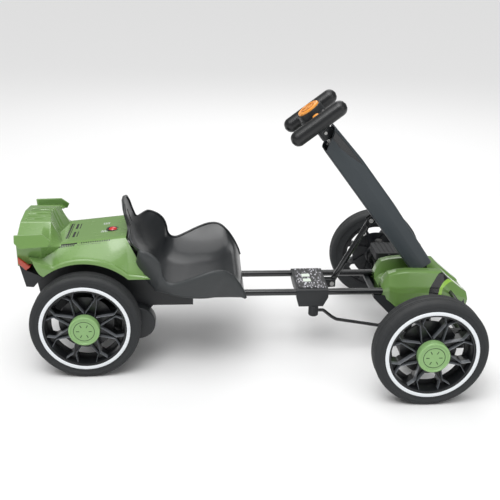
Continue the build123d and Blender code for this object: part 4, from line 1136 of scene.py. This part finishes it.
# ------------------------------------------------------------------ front end
@dataclass
class FrontShell:
    """Green nose moulding: two lobes with a valley between them for the column.

    Each station holds (x from the front axle, top of the lobe, hem, share of full width), in millimetres.
    """

    stations: tuple = (
        (-52.5, 150, 148, 0.86),
        (-55.0, 172, 147, 0.90),
        (-50.0, 184, 147, 0.93),
        (-40.0, 200, 140, 0.98),
        (-22.0, 205, 124, 1.0),
        (4.5, 208, 121, 1.0),
        (50.0, 207, 121, 1.0),
        (89.5, 204, 121, 1.0),
        (104.0, 190, 121, 0.99),
        (119.5, 177, 121, 0.97),
        (140.0, 160, 122, 0.92),
        (153.5, 150, 124, 0.86),
        (155.2, 140, 130, 0.80),
    )

    def build(self) -> None:
        """Skin P(u, v): u runs rear to nose, v from the centre of the valley out over a lobe to its hem."""
        order = np.arange(len(self.stations))
        at = np.linspace(0, order[-1], 120)
        x, top, hem, share = (np.interp(at, order, c)[:, None] for c in np.array(self.stations, float).T)
        depth = np.interp(x, [-55, -40, 0, 85, 120, 158], [14, 30, 34, 30, 12, 2])
        knots = np.array([0, 0.14, 0.22, 0.40, 0.46, 0.66, 0.74, 1.0])
        v = np.unique(np.r_[np.linspace(0, 1, 34), knots])
        y = np.interp(v, knots, [0, 26, 33, 50, 56, 69, 70, 66])[None] * share
        fall = np.interp(v, knots, [0, 0, 1, 1, 0.97, 0.60, 0.45, 0])[None]
        climb = np.interp(v, [0, 0.14, 0.22], [0, 0.05, 1])[None]
        z = np.where((v <= 0.22)[None], top - depth * (1 - climb), hem + (top - hem) * fall)
        half = np.stack([np.broadcast_to(x, z.shape), y, z], axis=2)
        points = from_axle(np.concatenate([half[:, ::-1] * OTHER_SIDE, half[:, 1:]], axis=1), FRONT_X)
        surface = grid(points[:, ::-1])
        rounding = Edge(0.0012, 2, 22.0)
        make("front_shell_skin", surface, "frame", NOSE, ("front_shell",), rounding, 0.003)


@dataclass
class Column:
    """Raked column: two cover halves, gloss panels, neck, hub, yoke and buttons.

    Sizes are in millimetres but for the foot, whose (x, z) is in metres.
    """

    tilt: float = math.radians(37.2)
    foot: tuple = (0.41495, 0.2105)
    back: float = -23.5
    panel_low: float = 281.0
    panel_lift: float = 0.4
    grip_s: float = 454.0
    grip_y: float = 70.8
    grip_half: float = 72.5
    grip_radius: float = 17.7
    cross_half: float = 66.0
    cross_s: float = 456.5
    squareness: float = 0.55

    def at(self, s: np.ndarray, w: np.ndarray, y: np.ndarray) -> np.ndarray:
        """Points of the column's own frame in the kart's.

        Args:
            s: Distance up the column.
            w: Distance towards its front.
            y: Distance to the left.

        Returns:
            The points in metres; the last axis is (x, y, z).
        """
        s, w, y = np.broadcast_arrays(np.asarray(s, float), np.asarray(w, float), np.asarray(y, float))
        x = self.foot[0] + (-np.sin(self.tilt) * s + np.cos(self.tilt) * w) / MM
        z = self.foot[1] + (np.cos(self.tilt) * s + np.sin(self.tilt) * w) / MM
        return np.stack([x, y / MM, z], axis=-1)

    @property
    def axis(self) -> np.ndarray:
        """Unit direction up the column."""
        return np.array([-math.sin(self.tilt), 0.0, math.cos(self.tilt)])

    def build(self) -> None:
        """Builds every piece of the column."""
        self.covers()
        self.panels()
        self.hub()
        self.yoke()

    def covers(self) -> None:
        """Cover half C(u, v): v runs round the half section, seam to seam; u runs up between slanted ends."""
        u = np.linspace(0, 1, 80)[:, None]
        mid = u * 400
        front = np.interp(mid, [0, 170, 300, 400], [24.5, 31.5, 31.0, 23.5])
        share = np.array([0.0, 0.0, 0.02, 0.06, 0.14, 0.55, 0.60, 0.94, 0.98, 1.0, 1.0])
        width = np.array([0.3, 22.5, 26.5, 29.2, 30.0, 30.0, 29.4, 23.5, 20.5, 17.5, 0.3])
        w = self.back + (front - self.back) * share[None]
        low = np.interp(w, [-23.5, 24.0], [4.0, -8.0])
        high = np.interp(w, [-23.5, 23.5], [380.0, 411.0])
        s = low + (high - low) * u
        rounding = Edge(0.0010, 2, 18.0)
        for side in Side:
            points = self.at(s, w, side.value * width[None])
            surface = grid(points if side is Side.RIGHT else points[:, ::-1])
            node = f"column_cover_{side.name.lower()}"
            make(node + "_skin", surface, "frame", SLATE, (node,), rounding, 0.0025)

    def panels(self) -> None:
        """Gloss panel P(u, v): u runs up the column, v across from a hooked edge to a bowed one."""
        rise = np.linspace(0, 1, 40)[:, None]
        near = self.panel_low + 128 * rise
        low_w = np.interp(near, [281, 285, 292, 304, 345, 399], [8.4, 3.5, -0.5, -4.0, -8.5, -12])
        high_w = np.interp(near, [281, 285, 292, 304, 360, 411], [9.6, 16.5, 23.0, 27.0, 24.6, 19.5])
        w = low_w + (high_w - low_w) * np.linspace(0, 1, 24)[None]
        s = self.panel_low + (np.interp(w, [-23.5, 23.5], [379.0, 410.0]) - self.panel_low) * rise
        y = np.interp(w, [-24, 6.5, 28], [30.4, 30.4, 24.6])
        for side in Side:
            points = self.at(s, w, side.value * (y + self.panel_lift))
            surface = grid(points if side is Side.RIGHT else points[:, ::-1])
            covers = ("column_panels",) if side is Side.LEFT else ()
            make(f"column_panel_{side.name.lower()}", surface, "frame", GLOSS, covers, wall=0.0010)

    def hub(self) -> None:
        """Neck, drum and disc turned about the column from profiles (radius, s), and the disc's mark."""
        base = self.at(0.0, 0.0, 0.0)
        neck = [(9, 396), (15.5, 396), (16.5, 398), (16.5, 430), (19, 434), (28.5, 436.2), (31, 439)]
        cup = [(31, 474.5), (30, 477.2), (28.2, 478), (27.5, 477), (27.5, 470), (9, 470)]
        drum = spun(np.array(neck + cup) / MM, base, self.axis)
        make("steering_hub_turned", drum, "steering", TRIM, ("steering_hub",))
        wall = [(26.8, 474), (27, 479.6), (26.2, 481.6), (24.2, 482.6), (21.8, 482.4)]
        face = [(21.0, 481.4), (20.2, 481.5), (8, 482.4), (0.3, 482.6)]
        disc = spun(np.array(wall + face) / MM, base, self.axis)
        make("horn_disc", disc, "horn", ORANGE, ("horn_button",))
        hoop = np.array([(15.2, 481.9), (15.5, 482.7), (16.2, 482.7), (16.5, 481.9)]) / MM
        mark = spun(hoop, base, self.axis)
        reach = np.linspace(5, 12, 4)
        for angle in np.pi * 2 / 3 * np.arange(3) + 0.5:
            path = self.at(482.5, reach * np.cos(angle), reach * np.sin(angle))
            mark = mark + bar(path, 0.0009, 0.0004, self.axis, 4.0, 8)
        make("horn_mark", mark, "horn", ORANGE_MARK)

    def yoke(self) -> None:
        """Grips are capsules r = R sqrt(1 - c^2); the cross-piece is a squared ellipse, wide at the hub."""
        surface = Surface.empty()
        t = np.linspace(-1, 1, 60)
        cap = np.clip((np.abs(t) - 0.76) / 0.24, 0, 1)
        radius = self.grip_radius * np.sqrt(np.clip(1 - cap**2, 0.0004, 1))[:, None]
        ring = np.linspace(0, 2 * np.pi, 40, endpoint=False)[None]
        for side in Side:
            s = self.grip_s + radius * np.sin(ring)
            y = side.value * self.grip_y + radius * np.cos(ring)
            surface = surface + tube(self.at(s, t[:, None] * self.grip_half, y))
        y = np.linspace(-self.cross_half, self.cross_half, 49)[:, None]
        swell = np.interp(np.abs(y), [0, 30, 44, 58, 66], [30, 30.5, 25, 24, 30])
        thick = np.interp(np.abs(y), [0, 30, 44, 58, 66], [9, 9, 8.4, 9, 13])
        cosine, sine = np.cos(ring), np.sin(ring)
        bow = -4 * (1 - np.abs(y) / self.cross_half)
        w = bow + swell * np.sign(cosine) * np.abs(cosine) ** self.squareness
        s = self.cross_s + thick * np.sign(sine) * np.abs(sine) ** self.squareness
        surface = surface + tube(self.at(s, w, y))
        make("steering_yoke_moulded", surface, "steering", GRIP, ("steering_yoke",), shade=Shade.SOFT)
        profile = np.array([(7.9, 460), (8.0, 466), (7.2, 467.6), (5.0, 468.6), (0.3, 469)]) / MM
        for side in Side:
            base = self.at(0.0, 4.0, side.value * 44.0)
            node = f"side_button_{side.name.lower()}"
            make(node + "_dome", spun(profile, base, self.axis, 48), node, ORANGE, (node,))


# ------------------------------------------------------------------ frame and running gear
@dataclass
class Chassis:
    """Tubes, brackets and running gear that keep their mechanical shapes, cleaned and edge-rounded.

    Each row holds the CAD node, its body, its finish and the width of its rounded edges in metres.
    """

    parts: tuple = (
        ("rail_left", "frame", PAINT, 0.0),
        ("rail_right", "frame", PAINT, 0.0),
        ("console_shell", "frame", TRIM, 0.0022),
        ("console_plate", "frame", PLATE, 0.0005),
        ("stay_socket", "frame", TRIM, 0.0),
        ("lower_stay", "frame", PAINT, 0.0),
        ("front_chassis", "frame", TRIM, 0.0015),
        ("front_beam", "frame", PAINT, 0.001),
        ("kingpins", "frame", STEEL, 0.0),
        ("bearing_bushes", "frame", TRIM, 0.0),
        ("column_brackets", "frame", PAINT, 0.0008),
        ("column_tube", "frame", PAINT, 0.0),
        ("column_strut", "frame", PAINT, 0.0006),
        ("strut_bolts", "frame", STEEL, 0.0006),
        ("pitman_post", "pitman", STEEL, 0.0),
        ("tie_rod", "tie_rod", PAINT, 0.0008),
        ("knuckle_left", "knuckle_left", PAINT, 0.0008),
        ("knuckle_right", "knuckle_right", PAINT, 0.0008),
        ("cranked_axle", "crank", PAINT, 0.0008),
        ("pedal_left", "pedal_left", PEDAL, 0.0008),
        ("pedal_right", "pedal_right", PEDAL, 0.0008),
        ("front_stub_axle_left", "front_wheel_left", STEEL, 0.0),
        ("front_stub_axle_right", "front_wheel_right", STEEL, 0.0),
        ("steering_shaft", "steering", STEEL, 0.0),
        ("neck_screws", "steering", STEEL, 0.0005),
        ("rear_chassis", "carriage", TRIM, 0.003),
        ("rail_sleeves", "carriage", TRIM, 0.0008),
        ("rear_axle", "carriage", STEEL, 0.0),
        ("gear_case", "carriage", TRIM, 0.001),
    )

    def build(self) -> None:
        """Refines each part in turn."""
        for node, body, finish, width in self.parts:
            refine(node, body, finish, Edge(width))


# ------------------------------------------------------------------ stage
@dataclass
class Studio:
    """Pale floor, three soft lamps, an even sun and pale surroundings."""

    half_floor: float = 30.0
    floor_colour: tuple = (0.86, 0.86, 0.86, 1)
    lamps: tuple = (
        ("key", (-0.7, -1.5, 3.0), 34.0, 1.6),
        ("fill", (2.0, -2.2, 1.5), 12.0, 2.0),
        ("back", (0.3, 2.2, 2.4), 22.0, 2.0),
    )
    aim: tuple = (0, 0, 0.2)
    sun_power: float = 2.1
    sun_spread: float = 1.2
    sun_turn: tuple = (0.25, -0.15, 0.0)
    sky_light: float = 0.24
    sky_seen: float = 0.78

    def build(self) -> None:
        """Sets up the floor, the lamps, the sun, the surroundings and the camera."""
        self.floor()
        for name, place, power, size in self.lamps:
            data = bpy.data.lights.new(name, "AREA")
            data.energy = power
            data.size = size
            turn = (Vector(self.aim) - Vector(place)).to_track_quat("-Z", "Y").to_euler()
            self.hang(data, place, turn)
        data = bpy.data.lights.new("even", "SUN")
        data.energy = self.sun_power
        data.angle = self.sun_spread
        self.hang(data, (0, 0, 0), self.sun_turn)
        self.surroundings()
        bpy.context.scene.view_settings.view_transform = "Standard"
        place_camera()

    def floor(self) -> None:
        """Lays the floor: one square face in matt pale paint."""
        h = self.half_floor
        mesh = bpy.data.meshes.new("floor")
        mesh.from_pydata([(-h, -h, 0), (h, -h, 0), (h, h, 0), (-h, h, 0)], [], [(0, 1, 2, 3)])
        floor = bpy.data.objects.new("floor", mesh)
        bpy.context.scene.collection.objects.link(floor)
        pale = bpy.data.materials.new("pale floor")
        pale.use_nodes = True
        shader = pale.node_tree.nodes["Principled BSDF"]
        shader.inputs["Base Color"].default_value = self.floor_colour
        shader.inputs["Roughness"].default_value = 0.9
        mesh.materials.append(pale)

    def hang(self, data: bpy.types.Light, place: tuple, turn: tuple) -> None:
        """Puts a light in the scene.

        Args:
            data: The light.
            place: Its place.
            turn: Its Euler angles.
        """
        lamp = bpy.data.objects.new(data.name, data)
        lamp.location = place
        lamp.rotation_euler = turn
        bpy.context.scene.collection.objects.link(lamp)

    def surroundings(self) -> None:
        """White world that looks brighter to the camera than the light it gives."""
        world = bpy.data.worlds.new("studio")
        world.use_nodes = True
        sky = world.node_tree
        background = sky.nodes["Background"]
        background.inputs["Color"].default_value = (1.0, 1.0, 1.0, 1)
        seen = sky.nodes.new("ShaderNodeLightPath").outputs["Is Camera Ray"]
        extra = maths(sky, "MULTIPLY", seen, self.sky_seen)
        sky.links.new(maths(sky, "ADD", extra, self.sky_light), background.inputs["Strength"])
        bpy.context.scene.world = world


def place_camera() -> None:
    """Camera from its place and its yaw, pitch and roll; level forward is +Y."""
    place = (-0.12305, -1.7705, 0.9382)
    yaw, pitch, roll = -0.068, 0.371, -0.015
    forward = Vector((-math.sin(yaw) * math.cos(pitch), math.cos(yaw) * math.cos(pitch), -math.sin(pitch)))
    right = forward.cross(Vector(UP)).normalized()
    down = forward.cross(right)
    turned_right = right * math.cos(roll) + down * math.sin(roll)
    turned_down = down * math.cos(roll) - right * math.sin(roll)
    data = bpy.data.cameras.new("camera")
    data.lens = 56.6
    data.sensor_width = 36.0
    camera = bpy.data.objects.new("camera", data)
    bpy.context.scene.collection.objects.link(camera)
    turn = Matrix((turned_right, -turned_down, -forward)).transposed().to_4x4()
    turn.translation = Vector(place)
    camera.matrix_world = turn
    bpy.context.scene.camera = camera


def main() -> None:
    """Builds the kart's sub-assemblies in order, then the stage."""
    logging.basicConfig(level=logging.INFO, format="%(name)s %(message)s")
    for side in Side:
        Wheel("rear", side, REAR_X, 0.1424).build()
        Wheel("front", side, FRONT_X, 0.2916).build()
    RearBody().build()
    Seat().build()
    FrontShell().build()
    Column().build()
    Chassis().build()
    Studio().build()


if __name__ == "__main__":
    main()
